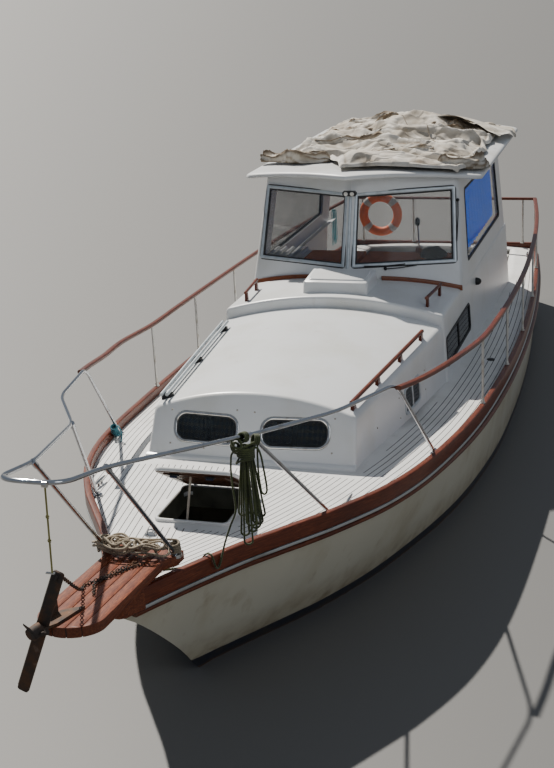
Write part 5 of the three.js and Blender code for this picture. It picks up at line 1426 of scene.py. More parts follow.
def pleated_cloth(u, v):
    """Point on the cloth; u runs aft and v down."""
    push = 0.0085 * math.sin(2 * math.pi * (11 * u + 0.20 * math.sin(2.4 * v + u))) * (0.7 + 0.3 * math.sin(5 * u + 1.3))
    x, y, z = house_side(FORE_EDGE + (AFT_EDGE - FORE_EDGE) * u + 0.02 * math.sin(3 * v + 2 * u) * v,
                         HEAD + (HEM - HEAD) * v)
    return (x - BEHIND + push, y, z), (u * (AFT_EDGE - FORE_EDGE), v * (HEAD - HEM))


curtain = cloth_grid("side_curtain", 90, 40, pleated_cloth, blue_cloth_with_painted_glow, 180, 0.0016, 0, "window_cloth")


# Foredeck hatch: a flat flange round a lined opening. The lid stands open on its stay; its underside is
# brown board with battens and two turn-button latches. Lid, straps and latches ride on the lid's hinge.
HATCH_Y, HINGE_Y, HINGE_Z, OPEN = -3.655, -3.374, 1.012726, math.radians(31)
# Painted shade: the lining is a very dark grey-green, as if the opening lay in shadow.
lining_painted_in_shade = weathered("hatch_lining_painted_shade", (0.7,), (0.085, 0.085, 0.062), ((0.035, 0.032, 0.024), 0.42, 0.8, 9))
flange_top = HINGE_Z - 0.006
RIM_FOOT, ON_DECK = 0.940, 0.0006


def hatch_plan(w, h, r):
    return rounded_plan(0, HATCH_Y, w, h, r)


rim = [(hatch_plan(0.500, 0.550, 0.050), None), (hatch_plan(0.500, 0.550, 0.050), flange_top - 0.004),
       (hatch_plan(0.492, 0.542, 0.046), flange_top), (hatch_plan(0.468, 0.518, 0.035), flange_top),
       (hatch_plan(0.462, 0.512, 0.032), flange_top - 0.003), (hatch_plan(0.462, 0.512, 0.032), RIM_FOOT),
       (hatch_plan(0.466, 0.516, 0.034), RIM_FOOT), (hatch_plan(0.470, 0.520, 0.036), None)]
skin_between("hatch_flange", [[(x, y, deck_top(x, y) + ON_DECK if z is None else z) for x, y in plan]
                              for plan, z in rim + rim[:1]], cabin_coat, "deck_paint", "hatch_coaming",
             caps=False, smooth=35)
skin_between("hatch_opening_liner", [[(x, y, z) for x, y in hatch_plan(0.4435 - t, 0.4935 - t, 0.026)] for t, z in (
    (-0.0170, flange_top - 0.004), (-0.0170, 0.880), (0.0, 0.860), (0.006, 0.860), (-0.002, flange_top - 0.006),
    (-0.008, flange_top - 0.002), (-0.0170, flange_top - 0.004))], lining_painted_in_shade, "cabin_gelcoat", caps=False, smooth=35)


def side_of(x):
    return "port" if x > 0 else "starboard"


for x in (-0.165, 0.165):
    block(f"hatch_lug_{side_of(x)}", (x - 0.011, HINGE_Y - 0.013, deck_top(0.16, HINGE_Y) + 0.001),
          (x + 0.011, HINGE_Y + 0.011, HINGE_Z + 0.010), alloy)
lid_turn = Matrix.Translation((0, HINGE_Y, HINGE_Z)) @ Matrix.Rotation(-OPEN, 4, "X")


def on_lid(x, out, up):
    """Place on the lid: out from the hinge line and up from its underside."""
    return lid_turn @ Vector((x, -out, up))


def lid_skin(name, w, h, r, levels, material, slot_name, node=None):
    """Plate of the lid, from insets and heights over its underside."""
    skin_between(name, [[on_lid(x, -y, up) for x, y in rounded_plan(0, -0.274, w - 2 * i, h - 2 * i, r)]
                        for i, up in levels], material, slot_name, node, body="hatch_lid", smooth=35)


def lid_block(name, low, high, material, bevel=0.003, place=lid_turn):
    block(f"lid_{name}", low, high, material, bevel, "hatch_lid", None, place)


lid_skin("lid_board", 0.530, 0.540, 0.060, ((0.006, 0.0), (0.001, 0.003), (0.0, 0.010), (0.0, 0.018), (0.003, 0.0235),
                                            (0.010, 0.0258), (0.04, 0.026)), cabin_coat, "deck_paint", "hatch_lid")
lid_wood = varnished("lid_board_wood", (0.030, 0.012, 0.007), (0.075, 0.030, 0.014), (0.13, 0.055, 0.026), gloss=0.42)
lid_skin("lid_underside", 0.515, 0.525, 0.050, ((0, 0.002), (0, -0.003), (0.003, -0.005)), lid_wood, "varnished_wood")
for k in range(6):
    y = -0.078 - 0.078 * k
    lid_block(f"batten_{k + 1}", (-0.206, y - 0.024, -0.0125), (0.206, y + 0.024, -0.0045), lid_wood)
for x in (-0.190, 0.190):
    lid_block(f"rail_{side_of(x)}", (x - 0.016, -0.500, -0.016), (x + 0.016, -0.052, -0.004), lid_wood)
latch_blue = weathered("latch_enamel", (0.4, 0.2), (0.012, 0.022, 0.060), ((0.02, 0.02, 0.02), 0.4, 0.7, 60))
for x in (-0.135, 0.105):
    lid_block(f"latch_plate_{side_of(x)}", (x - 0.035, -0.508, -0.020), (x + 0.035, -0.478, -0.012), black_metal)
    lid_block(f"latch_button_{side_of(x)}", (x - 0.026, -0.506, -0.034), (x + 0.026, -0.488, -0.019), latch_blue,
              0.005)
tube("lid_hinge_pin", [(-0.218, HINGE_Y, HINGE_Z), (0.218, HINGE_Y, HINGE_Z)], 0.005, polished, body="hatch_lid")
for x, number in ((-0.205, 0), (0.0, 205), (0.205, 410)):
    lid_block(f"strap_{number}", (x - 0.015, -0.050, 0.0262), (x + 0.015, 0.0035, 0.030), polished, 0.001,
              lid_turn @ Matrix.Translation((0, 0, -0.0005)))
    lid_block(f"strap_knuckle_{number}", (x - 0.015, -0.006, -0.0055), (x + 0.015, 0.006, 0.029), polished,
              0.004)
stay_wood = varnished("stay_wood", (0.30, 0.25, 0.19), (0.46, 0.41, 0.34), (0.58, 0.54, 0.47), gloss=0.5)
foot = Vector((-0.040, HATCH_Y - 0.222, deck_top(0, -3.880) - 0.006))
head = on_lid(-0.040, 0.445, -0.0125)
tube("lid_stay", [foot, foot.lerp(head, 0.33), foot.lerp(head, 0.66), head], 0.0078, stay_wood, 8,
     "hatch_stay", "hatch_lid")

# Hatch box ahead of the windscreen: a low white locker with a raked lid and a rounded edge. It stands on
# the raised cabin's top, against the foot of the screens.
box_profile = [(-0.322, 1.300), (-0.240, 1.565), (-0.226, 1.573), (0.1085, 1.6015), (0.1345, 1.300)]


def box_ring(x, inset):
    pts = []
    for k, (y, z) in enumerate(box_profile):
        y, z = y + (inset if k < 3 else 0), z - (inset if k in (1, 2, 3) else 0)
        if k in (0, 4):
            z = raised_top(x, y) + 0.0006
            y = -0.322 + (z - 1.300) * 0.087 / 0.266 + inset if k == 0 else y
        if k >= 3:
            middle, outer = at_height("yc", z), at_height("yo", z)
            y = min(y, middle + (outer - middle) * abs(x) / at_height("xo", z) - 0.001)
        pts.append((x, y, z))
    return pts


box_edge = [(-0.286, 0.020), (-0.284, 0.010), (-0.276, 0.003), (-0.262, 0.0), (-0.15, 0.0), (0.0, 0.0)]
skin_between("screen_locker", [box_ring(x, i) for x, i in both_sides(box_edge)], cabin_coat, "cabin_gelcoat",
             "hatch_box", smooth=38)
skin_between("screen_locker_lid", [[(x, y, z + 0.0855 * (y + 0.226)) for x, y in rounded_plan(
    0, -0.068, 0.500 - 2 * i, 0.270 - 2 * i, 0.035)] for i, z in ((0, 1.571), (0, 1.580), (0.004, 1.584))],
             cabin_coat, "cabin_gelcoat", smooth=35)


# Pulpit: one polished tube from the side decks round the bow, with legs to the deck and the platform
# and round foot plates. Its after legs are chafed and rusty.
tube_steel, tree, shader = new_material("pulpit_stainless", 0.13, 1.0)
steel = dirt_over(tree, (0.50, 0.52, 0.55), (0.30, 0.26, 0.22), 0.58, 0.86, 16, (1, 1, 0.5))
rust = dirt_over(tree, steel, (0.16, 0.085, 0.045), 0.56, 0.78, 26)
low_part = level_mask(tree, 1.50, 1.62)
tree.links.new(mixed_colour(tree, low_part, rust, steel), shader.inputs["Base Color"])
bumped(tree, shader, noise_of(tree, 120, 3), 0.10, 0.0006)


def bent(path, reach, steps=9):
    """Straight runs joined by round bends that start a given reach from each corner."""
    pts = [Vector(p) for p in path]
    out = [pts[0]]
    for a, b, c in zip(pts, pts[1:], pts[2:]):
        cut = min(reach, (a - b).length * 0.45, (b - c).length * 0.45)
        p, q = b + (a - b).normalized() * cut, b + (c - b).normalized() * cut
        out += [p * (1 - t) ** 2 + b * (2 * t * (1 - t)) + q * t * t for t in [k / (steps - 1) for k in range(steps)]]
    return out + [pts[-1]]


half_bar = [(1.218, -2.230, 0.870), (1.100, -2.935, 1.622), (0.900, -3.720, 1.705), (0.550, -4.285, 1.752),
            (0.197, -5.425, 1.999), (0.168, -5.850, 2.088)]
BAR_R, LEG_R = 0.0125, 0.0122
tube("pulpit_bar", bent(half_bar + mirrored(half_bar), 0.130), BAR_R, tube_steel, sides=16, node="pulpit")
LEGS = {"mid": ((0.550, -4.285, 1.752), (0.799, -3.548, 0.955)),
        "fore": ((0.197, -5.425, 1.999), (0.212, -4.690, 1.176))}
for side, sign in (("port", 1), ("starboard", -1)):
    for which, ends in LEGS.items():
        a, b = [Vector((sign * x, y, z)) for x, y, z in ends]
        way, leg_name = (b - a).normalized(), f"pulpit_leg_{which}"
        tube(f"{leg_name}_{side}", [a, a.lerp(b, 0.5), b], LEG_R, tube_steel, sides=16)
        turned(f"{leg_name}_foot_{side}", b, [(-0.016, 0.034), (0.004, 0.034), (0.0045, 0.017), (0.022, 0.016)],
               tube_steel, sides=20)
        tube(f"{leg_name}_clamp_{side}", [a - way * 0.006, a + way * 0.050], 0.0165, tube_steel, sides=16)
    aft = Vector((sign * 1.218, -2.230, deck_top(1.218, -2.230)))
    tube(f"pulpit_aft_foot_{side}",
         [aft + Vector((0, y, z)) for y, z in ((0, 0.0006), (0, 0.014), (0, 0.0145), (-0.012, 0.05))],
         [0.034, 0.034, 0.018, 0.016], tube_steel, sides=20)

# Side rails: flat handrails of red mahogany with rounded edges, on steel stanchions with round bases.
# The stern rail stands on its own posts; short rails and grab rails are on the cabins' tops.
hand_wood = varnished("handrail_mahogany", (0.045, 0.008, 0.003), (0.105, 0.020, 0.007), (0.20, 0.050, 0.018), gloss=0.36)
painted_steel = weathered("stanchion_steel", (0.32, 0.7), (0.58, 0.58, 0.56), ((0.30, 0.24, 0.17), 0.52, 0.82, 16),
                          relief=((90, 3), 0.12, 0.0008))


def rail_at(y, lift):
    return (line(1, y) - 0.024, y, line(2, y) + lift)


side_path = [(1.122, -2.965, 1.590), (1.180, -2.700, 1.550), (1.245, -2.300, 1.495)] + [
    rail_at(y, 0.600 + 0.060 * max(0, (-y - 1.040) / 1.260))
    for y in (-1.8, -1.04, -0.4, 0.3, 1.235, 2.0, 3.0, 4.0, 4.963)]
fine_side = even_path(side_path, 0.06)
handrail = rounded_section(-0.023, 0.023, 0.0005, 0.030, 0.011)
for side, sign, turn in (("port", 1, list), ("starboard", -1, mirrored)):
    moulding(f"handrail_{side}", turn(fine_side), handrail, hand_wood, f"side_rail_{side}")
    for y in (-1.040, 0.110, 1.235, 2.500, 3.750, 4.940):
        low, high = Vector(rail_at(y, 0.0735)), Vector(rail_at(y, 0.604))
        low.x, high.x = sign * low.x, sign * high.x
        number = f"{side}_{int(round(y * 100)) + 200}"
        tube(f"stanchion_{number}", [low, high], 0.0110, painted_steel)
        turned(f"stanchion_base_{number}", low, [(0, 0.021), (0.006, 0.021), (0.0065, 0.0155), (0.030, 0.014)],
               painted_steel)
stern_z = line(2, 4.963) + 0.600
moulding("stern_handrail", [(x, 4.9867, stern_z) for x in (1.148, 0.9, 0.6, 0.3, 0, -0.3, -0.6, -0.9, -1.148)],
         rounded_section(-0.0230, 0.0230, 0.0, 0.030, 0.011), hand_wood, "stern_rail")
for x in (-0.990, -0.350, 0.350, 0.990):
    number = int(x * 1000) + 1000
    tube(f"stern_post_{number}", [(x, 4.990, 0.7295), (x, 4.990, stern_z + 0.004)], 0.013, painted_steel)
    turned(f"stern_post_base_{number}", (x, 4.990, 0),
           [(0.7297, 0.026), (0.738, 0.026), (0.7385, 0.018), (0.765, 0.016)], painted_steel)


def trunk_top(x, y):
    return TRUNK["z"] + TRUNK["crown"] * (1 - (x / trunk_half(y)) ** 2)


def foot_block(name, x, y, top, w, l, surface, material, slot_name):
    """Foot whose underside follows the cabin's top and whose ends sweep in."""
    rings = []
    for f, spread in ((0.0, 1.0), (0.35, 0.82), (1.0, 0.66)):
        corners = [(x + sx * w / 2, y + sy * l / 2 * spread) for sx, sy in ((-1, -1), (1, -1), (1, 1), (-1, 1))]
        bases = [surface(abs(px), py) + 0.0006 for px, py in corners]
        rings.append([(px, py, base + (top - base) * f) for (px, py), base in zip(corners, bases)])
    skin_between(name, rings, material, slot_name, smooth=30)


grab_path = [(trunk_half(y) - 0.062, y, 1.306) for y in [-2.52 + 1.76 * k / 16 for k in range(17)]]
moulding("trunk_grab_rail_port", grab_path, rounded_section(-0.015, 0.015, 0.0, 0.028, 0.010), hand_wood,
         "grab_rail_port")
for k, y in enumerate((-2.480, -1.930, -1.370, -0.800)):
    foot_block(f"grab_rail_foot_{k + 1}", trunk_half(y) - 0.062, y, 1.3065, 0.024, 0.090, trunk_top, hand_wood,
               "varnished_wood")
for name, inset, z in (("outer", 0.045, 1.318), ("inner", 0.088, 1.322)):
    tube(f"twin_bar_{name}", [(-(trunk_half(y) - inset), y, z) for y in (-2.56, -1.9, -1.3, -0.70)], 0.0128, alloy,
         12, "twin_bars_starboard")
for k, y in enumerate((-2.470, -1.640, -0.800)):
    foot_block(f"twin_bar_foot_{k + 1}", -(trunk_half(y) - 0.066), y, 1.3065, 0.080, 0.050, trunk_top, black_metal,
               "black_frame")
short_section = rounded_section(-0.013, 0.013, 0.0, 0.024, 0.009)
for side, sign in (("port", 1), ("starboard", -1)):
    path = [(sign * (0.800 + 0.042 * f), -0.290 + 0.470 * f, 1.452) for f in (0, 0.25, 0.5, 0.75, 1.0)]
    moulding(f"short_grab_rail_{side}", path, short_section, hand_wood, f"short_rail_{side}")
    for k, (x, y) in enumerate(((0.804, -0.250), (0.838, 0.140))):
        foot_block(f"short_rail_foot_{side}_{k + 1}", sign * x, y, 1.4525, 0.022, 0.050, raised_top, hand_wood,
                   "varnished_wood")

# A blue-green lashing is wound round the after end of the starboard pulpit bar, just over its foot, and its
# tail hangs free.
lash_foot = Vector((-1.218, -2.230, 0.800))
lash_way = (Vector((-1.100, -2.935, 1.622)) - lash_foot).normalized()
teal_yarn = rope_yarn("teal_lashing_cord", (0.004, 0.05, 0.07), (0.05, 0.30, 0.38))
wraps = turns(lash_foot + lash_way * 0.105, lash_way, (1, 0, 0), (0.0235, 0.0235), 10, 0.0128, 0.0, 0.10, 16)
wraps += [wraps[-1] + Vector(p) for p in ((0.020, -0.026, 0.020), (0.050, -0.050, 0.010), (0.060, -0.050, -0.030),
                                          (0.052, -0.040, -0.080), (0.030, -0.034, -0.130))]
lashing = laid_rope("teal_lashing", wraps, 0.0054, teal_yarn, lay=0.025, sides=8, step=0.004)


# Inside: mahogany dash with shelves, the companion door, a black steering wheel, the helm seat and the
# stern bench, the cockpit's tub and the cabin's sole. The engine stands under the planked sole hatch.
joinery = varnished("joinery_mahogany", (0.075, 0.018, 0.007), (0.175, 0.045, 0.016), (0.28, 0.085, 0.030), "Object",
                    (1, 1, 6), 0.35)
sole_wood = varnished("sole_planks", (0.110, 0.055, 0.025), (0.21, 0.11, 0.055), (0.30, 0.175, 0.095), "Object",
                      (8, 0.8, 1), 0.5)
tub_coat = weathered("cockpit_moulding", (0.5,), (0.58, 0.58, 0.56), ((0.38, 0.36, 0.31), 0.44, 0.8, 5),
                     relief=((300, 2), 0.1, 0.0006))
engine_green = weathered("engine_green_paint", (0.5, 0.2), (0.085, 0.13, 0.10), ((0.05, 0.04, 0.03), 0.45, 0.8, 12),
                         relief=((50, 3), 0.2, 0.001))
black_rim = weathered("steering_wheel_black", (0.38,), (0.022, 0.020, 0.019), ((0.08, 0.07, 0.06), 0.5, 0.8, 20))
vinyl = weathered("cream_vinyl", (0.48,), (0.58, 0.55, 0.46), ((0.36, 0.32, 0.24), 0.46, 0.8, 7),
                  relief=((260, 3), 0.2, 0.0008))
painted_board = weathered("painted_bulkhead", (0.6,), (0.56, 0.54, 0.48), ((0.36, 0.33, 0.27), 0.44, 0.8, 4))
for node, material in (("dash", joinery), ("cabin_door", joinery), ("main_bulkhead", joinery), ("cabin_sole", sole_wood),
                       ("sole_hatch", sole_wood), ("cockpit_liner", tub_coat), ("stern_bench", tub_coat),
                       ("fore_bulkhead", painted_board), ("engine", engine_green), ("steering_wheel", black_rim)):
    refinish(node, material)
SOLE_LOW, SOLE_TOP = 0.3302, 0.3340
for k in range(6):
    x = -0.424 + 0.1415 * k
    block(f"sole_hatch_plank_{k + 1}", (x + 0.001, 1.4765, SOLE_LOW), (x + 0.1400, 2.5035, SOLE_TOP), sole_wood,
          0.0012, "sole_hatch")
for k in range(13):
    x = -0.930 + 0.1433 * k
    for y0, y1, part in ((0.600, 1.462, "fore"), (2.518, 4.430, "aft")):
        block(f"cockpit_plank_{part}_{k + 1}", (x + 0.001, y0, SOLE_LOW), (min(0.930, x + 0.1418), y1, SOLE_TOP),
              sole_wood, 0.0012)

# Helm seat: two vinyl cushions with piping on a pedestal. Both are padded.
for name, low, high in (("seat_cushion", (0.462, 1.562, 0.802), (0.838, 1.958, 0.892)),
                        ("seat_back", (0.462, 1.892, 0.862), (0.838, 1.958, 1.218))):
    cushion = block(name, low, high, vinyl, 0.022, node="helm_seat")
    subdivided = cushion.modifiers.new("soft", "SUBSURF")
    subdivided.levels = subdivided.render_levels = 1
turned("seat_post", (0.65, 1.76, 0), [(0.3345, 0.055), (0.345, 0.055), (0.347, 0.036), (0.801, 0.036)], painted_steel,
       sides=20)

# Behind the windscreen: a wooden shelf, white and ribbed at starboard, with a lever on a chrome box and a heap of dark
# fleece. Sun on its wooden part is painted light: that wood is made far paler than the other mahogany.
# Painted light: these wood tones stand in for sunlight on the shelf, and its shine is turned down below.
shelf_wood_painted_sunlit = varnished("shelf_wood_painted_sunlit", (0.28, 0.075, 0.026), (0.62, 0.175, 0.060), (0.80, 0.30, 0.12), "Object",
                       (2, 9, 9), 0.45)
for label, value in (("Specular IOR Level", 0.04), ("Coat Weight", 0.0)):
    shelf_wood_painted_sunlit.node_tree.nodes["Principled BSDF"].inputs[label].default_value = value
SHELF_Z, SHELF_BACK = 1.543, 1.030
for name, s0, s1, *finish in (("port", 0.02, 0.93, shelf_wood_painted_sunlit, "varnished_wood"),
                              ("middle", -0.02, -0.56, shelf_wood_painted_sunlit, "varnished_wood"),
                              ("starboard", -0.565, -0.93, cabin_coat, "cabin_gelcoat")):
    front = [(house_front(s, SHELF_Z)[0], house_front(abs(s), SHELF_Z)[1] + 0.052) for s in (s0, s1)]
    plan = front + [(front[1][0], SHELF_BACK), (front[0][0], SHELF_BACK)]
    rings = [[(x, y, z) for x, y in plan] for z in (1.3635, SHELF_Z - 0.002, SHELF_Z)]
    skin_between(f"screen_shelf_{name}", rings, *finish, smooth=30)
for k in range(5):
    x = -0.575 - 0.072 * k
    block(f"shelf_rib_{k + 1}", (x - 0.036, 0.560 + 0.040 * k, SHELF_Z + 0.0005), (x, SHELF_BACK, SHELF_Z + 0.034),
          roof_coat, 0.008)
block("lever_box", (0.462, 0.975, SHELF_Z + 0.0005), (0.530, 1.028, SHELF_Z + 0.062), polished, 0.010)
tube("lever_arm", [(0.494, 1.002, SHELF_Z + 0.060), (0.483, 1.000, 1.850)], 0.007, polished)
studs_at("lever_knob", [((0.483, 1.000, 1.838), (0, -0.1, 1))], black_metal, 0.026, 0.044)
fur = weathered("dark_fleece", (1.0,), (0.030, 0.022, 0.014), ((0.13, 0.085, 0.045), 0.45, 0.75, 30),
                relief=((160, 4), 0.8, 0.006), Specular_IOR_Level=0.04)
heap = []
for j in range(13):
    for i in range(24):
        t, h = 2 * math.pi * i / 24, math.pi / 2 * j / 12
        swell = 1 + 0.18 * noise.noise(Vector((math.cos(t) * 2, math.sin(t) * 2, h * 2)))
        heap.append((0.650 + 0.120 * math.cos(t) * math.cos(h) * swell,
                     0.880 + 0.110 * math.sin(t) * math.cos(h) * swell, SHELF_Z + 0.001 + 0.085 * math.sin(h) * swell))
fleece = meshed("fleece_cover", heap, band_faces(13, 24, caps=False) + [tuple(reversed(range(24)))], fur, smooth=180)


# Ground tackle: a plain forged anchor with its flat shank on the platform, its crown and flukes over the
# tip, and a rusty chain of welded links that lies along the planks.
forged = weathered("rusty_iron", (0.75, 0.55), (0.055, 0.045, 0.040), ((0.16, 0.075, 0.035), 0.42, 0.72, 11),
                   ((0.26, 0.22, 0.19), 0.62, 0.9, 22), relief=((90, 5), 0.5, 0.0025))
refinish("anchor", forged)


def one_link(tree, given):
    """A welded link: an oval of round wire."""
    radius, half_long, half_wide = [
        added(tree, "ShaderNodeMath", {0: given[label], 1: 0.5}, operation="MULTIPLY").outputs[0]
        for label in ("Wire", "Length", "Width")]
    oval = added(tree, "GeometryNodeCurvePrimitiveCircle", {"Resolution": 14, "Radius": 1})
    wire = added(tree, "GeometryNodeCurvePrimitiveCircle", {"Resolution": 6, "Radius": radius})
    shape = added(tree, "ShaderNodeCombineXYZ", {0: half_wide, 1: half_long, 2: 1})
    stretch = added(tree, "GeometryNodeTransform", {"Geometry": oval.outputs[0], "Scale": shape.outputs[0]})
    swept = added(tree, "GeometryNodeCurveToMesh", {"Curve": stretch.outputs[0], "Profile Curve": wire.outputs[0]})
    return swept.outputs[0]


link_tree = copies_tree("chain_links", ("Wire", "Length", "Width"), one_link)


def chain_along(name, path, seed):
    """Welded links along a path, each turned a quarter from the one before."""
    wire, pitch, spots = 0.0062, 0.0205, []
    fine = even_path(path, pitch)
    for i, p in enumerate(fine[:-1]):
        ahead = (fine[i + 1] - p).normalized()
        side = ahead.cross(Vector((0, 0, 1))).normalized()
        up = side.cross(ahead)
        roll = math.radians(38 + 90 * (i % 2) + 24 * noise.noise(Vector((i * 0.9, seed, 0))))
        flat = up * math.cos(roll) - side * math.sin(roll)
        spots.append(((p + fine[i + 1]) / 2, Matrix((flat, ahead, flat.cross(ahead))).transposed()))
    copies_at(name, spots, link_tree, {"Wire": wire, "Length": pitch + wire, "Width": wire * 2.7}, forged)


LINK_UP = 0.0085
hanging = [(0.046, -5.738, 1.548), (0.030, -5.680, 1.515), (0.008, -5.600, 1.455), (-0.030, -5.440, 1.330),
           (-0.066, -5.310, 1.246)]
chain_along("anchor_chain", hanging + [over_planks(x, y, LINK_UP + up) for x, y, up in (
    (-0.090, -5.225, 0), (-0.048, -5.128, 0), (0.002, -4.985, 0), (0.055, -4.870, 0.004))], 0.0)
chain_along("spare_chain", [over_planks(x, y, LINK_UP + up) for x, y, up in (
    (0.100, -4.865, 0), (0.040, -4.960, 0), (-0.010, -5.080, 0), (-0.045, -5.190, 0.004), (-0.018, -5.270, 0),
    (0.008, -5.330, 0))], 3.0)

# A thin brass rod with two eyes and a small plate hangs from the pulpit's nose, beside the anchor's head.
brass = weathered("dull_brass_rod", (0.4, 0.6), (0.30, 0.28, 0.10), ((0.12, 0.10, 0.04), 0.45, 0.8, 30))
rod_top, rod_low = Vector((0.100, -5.872, 2.076)), Vector((0.085, -5.870, 1.640))
tube("nose_rod", [rod_top, rod_top.lerp(rod_low, 0.5), rod_low], 0.0048, brass)
tube("nose_rod_clamp", [rod_top + Vector((x, 0, 0.014)) for x in (-0.012, 0.012)], 0.0155, polished, sides=16)
for k, t in enumerate((0.34, 0.62)):
    eye = [rod_top.lerp(rod_low, t) + Vector((0.0085 * math.cos(a), 0, 0.0085 * math.sin(a)))
           for a in [2 * math.pi * n / 12 for n in range(12)]]
    tube(f"nose_rod_eye_{k + 1}", eye, 0.0022, brass, sides=8)
block("nose_rod_plate", (0.052, -5.876, 1.634), (0.098, -5.862, 1.641), polished, 0.0015)

# The anchor's shackle at its head, the ground edge of its shank, and the pin, nuts and roll of its crown.
head, heel, crown = Vector((0.052, -5.745, 1.578)), Vector((-0.224, -5.745, 0.894)), Vector((-0.072, -5.745, 1.262))
shank = (heel - head).normalized()
shackle = [head + shank * 0.030 + Vector((0, 0.020 * math.sin(a) - 0.001, 0)) + shank * (-0.020 * math.cos(a))
           for a in [math.pi * k / 9 * 2 for k in range(9)]]
tube("anchor_shackle", shackle, 0.0052, forged, 10)
bright_edge = weathered("worn_bright_edge", (0.35, 0.8), (0.42, 0.38, 0.34), ((0.16, 0.10, 0.07), 0.45, 0.75, 14))
across = Vector((-shank.z, 0, shank.x))
edge_side = across * (0.0305 if across.x < 0 else -0.0305)
worn = [head + shank * d + edge_side + Vector((0, -0.0066, 0)) for d in (0.02, 0.25, 0.50, 0.71)]
tube("anchor_worn_edge", worn, 0.0022, bright_edge, 8)


def crown_bar(name, start, end, radius, sides):
    tube(f"anchor_crown_{name}", [crown + Vector(start), crown + Vector(end)], radius, forged, sides)


crown_bar("pin", (-0.034, -0.052, -0.020), (0.050, -0.052, 0.012), 0.0085, 12)
for k, s in enumerate((-0.034, 0.050)):
    end = crown + Vector((s, -0.052, -0.020 + (s + 0.034) * 0.38))
    half = Vector((0.006, 0, 0.002))
    tube(f"anchor_crown_nut_{k + 1}", [end - half, end + half], 0.015, forged, 6)
crown_bar("roll", (-0.030, -0.080, 0.002), (-0.004, -0.016, 0.010), 0.030, 20)

# Deck fittings: a fairlead eye on the foredeck, an oval black filler on the port side deck, and four horned
# cleats inside the toe rail.


def deck_spot(x, y):
    return Vector((x, y, deck_top(x, y)))


eye_at = deck_spot(-0.181, -4.123)
eye = [eye_at + Vector((0.028 * math.cos(t), 0, 0.002 + 0.034 * math.sin(t)))
       for t in [math.pi * k / 10 for k in range(11)]]
tube("bow_eye", eye, 0.006, polished)
turned("bow_eye_plate", eye_at, [(-0.002, 0.040), (0.004, 0.040)], polished, sides=20)
turned("deck_filler", deck_spot(1.245, 0.42), [(-0.002, 0.036), (0.006, 0.036), (0.009, 0.028)], black_metal,
       "black_frame", 24)
horn = [(-0.085, 0.005), (-0.06, 0.008), (-0.03, 0.010), (0, 0.011), (0.03, 0.010), (0.06, 0.008), (0.085, 0.005)]
for side, sign in (("port", 1), ("starboard", -1)):
    for y, where in ((-3.35, "bow"), (4.55, "stern")):
        base = deck_spot(sign * (line(1, y) - 0.120), y)
        tube(f"cleat_{side}_{where}", [base + Vector((0, v, 0.036 - 0.22 * abs(v) ** 1.6 * 0.2)) for v, r in horn],
             [r for v, r in horn], polished)
        for k, v in enumerate((-0.024, 0.024)):
            turned(f"cleat_post_{side}_{where}_{k + 1}", base + Vector((0, v, 0)),
                   [(-0.001, 0.014), (0.006, 0.009), (0.034, 0.008)], polished, sides=12)

# Ring buoy: orange foam with four pale bands, hung in a holder on the stern rail. It is one ring, and the
# bands are sleeves round it.
orange = weathered("buoy_orange", (0.6,), (0.82, 0.155, 0.030), ((0.52, 0.10, 0.03), 0.42, 0.8, 7),
                   relief=((90, 3), 0.2, 0.001))
band_grey = weathered("buoy_band", (0.55,), (0.50, 0.49, 0.46), ((0.30, 0.28, 0.24), 0.42, 0.8, 14))
buoy_mid, RING_R = Vector((-0.749, 4.9107, 1.078)), 0.215


def ring_part(name, start, stop, steps, bar, material, node=None):
    verts, sides = [], 24
    for i in range(steps + 1):
        t = math.radians(start + (stop - start) * i / steps)
        out = Vector((math.cos(t), 0, math.sin(t)))
        for a in [2 * math.pi * k / sides for k in range(sides)]:
            verts.append(buoy_mid + out * (RING_R + bar * math.cos(a)) + Vector((0, bar * math.sin(a), 0)))
    obj = meshed(name, verts, band_faces(steps + 1, sides, caps=stop - start < 360), material, smooth=None)
    reworked(obj, doubles_merged(0.0002), edges_shaded(50))
    dressed(obj, node)


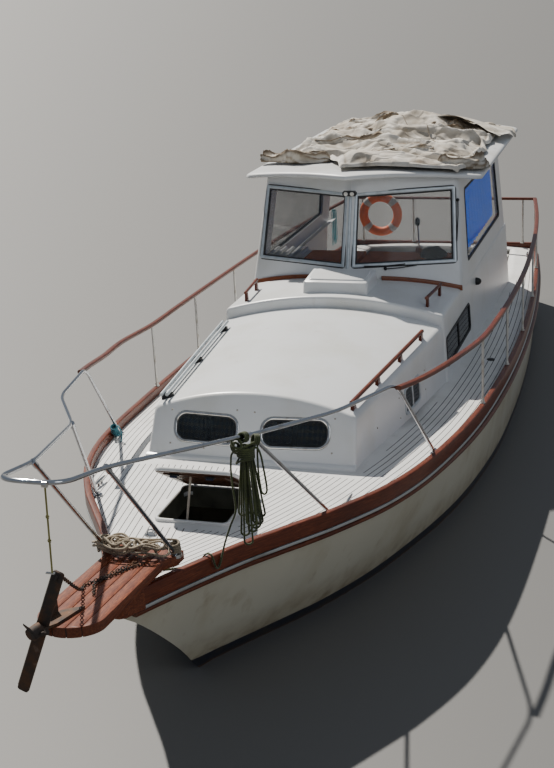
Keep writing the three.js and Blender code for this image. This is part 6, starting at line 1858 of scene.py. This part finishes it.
ring_part("buoy_ring", 0, 360, 72, 0.0545, orange, "ring_buoy")
for k in range(4):
    ring_part(f"buoy_band_{k + 1}", 36 + 90 * k, 54 + 90 * k, 8, 0.0562, band_grey)


# The stage: a pale floor at the water's level, open where the boat sits in it, and soft studio light
# from high on the starboard quarter with a wide fill from ahead.
floor_coat, tree, shader = new_material("studio_floor", 0.6)
shader.inputs["Base Color"].default_value = (0.120, 0.119, 0.116, 1)
outline = [(half_breadth(y, 0.0) - 0.010, y) for y in [-3.915 + 8.955 * k / 60 for k in range(61)]]
ring = [(x, y) for x, y in outline if x > 0.004] + [(-x, y) for x, y in reversed(outline) if x > 0.004]
far = [(400 * math.cos(t), 0.6 + 400 * math.sin(t)) for t in [math.atan2(y - 0.6, x) for x, y in ring]]
n = len(ring)
floor = meshed("floor", [(x, y, 0) for x, y in ring + far], [(k, (k + 1) % n, n + (k + 1) % n, n + k) for k in range(n)],
               floor_coat, None, None, None)
reworked(floor, faces_up)

world = bpy.data.worlds.new("studio")
world.use_nodes = True
world.node_tree.nodes["Background"].inputs[0].default_value = (0.75, 0.84, 0.98, 1)
world.node_tree.nodes["Background"].inputs[1].default_value = 0.28
bpy.context.scene.world = world


def soft_light(name, place, towards, size, watts, colour):
    light = bpy.data.lights.new(name, "AREA")
    light.shape = "DISK"
    light.size = size
    light.energy = watts
    light.color = colour
    lamp = bpy.data.objects.new(name, light)
    turn = (Vector(towards) - Vector(place)).to_track_quat("-Z", "Y")
    lamp.matrix_world = Matrix.Translation(place) @ turn.to_matrix().to_4x4()
    bpy.context.collection.objects.link(lamp)


soft_light("fill", (9, -9, 7), (0, 0, 0.6), 7, 200, (0.93, 0.96, 1.0))
sun = bpy.data.lights.new("sun", "SUN")
sun.angle, sun.energy, sun.color = math.radians(1.0), 7.5, (1.0, 0.95, 0.87)
sunlight = bpy.data.objects.new("sun", sun)
sunlight.matrix_world = Vector((-0.46, 0.50, 0.73)).to_track_quat("Z", "Y").to_matrix().to_4x4()
bpy.context.collection.objects.link(sunlight)
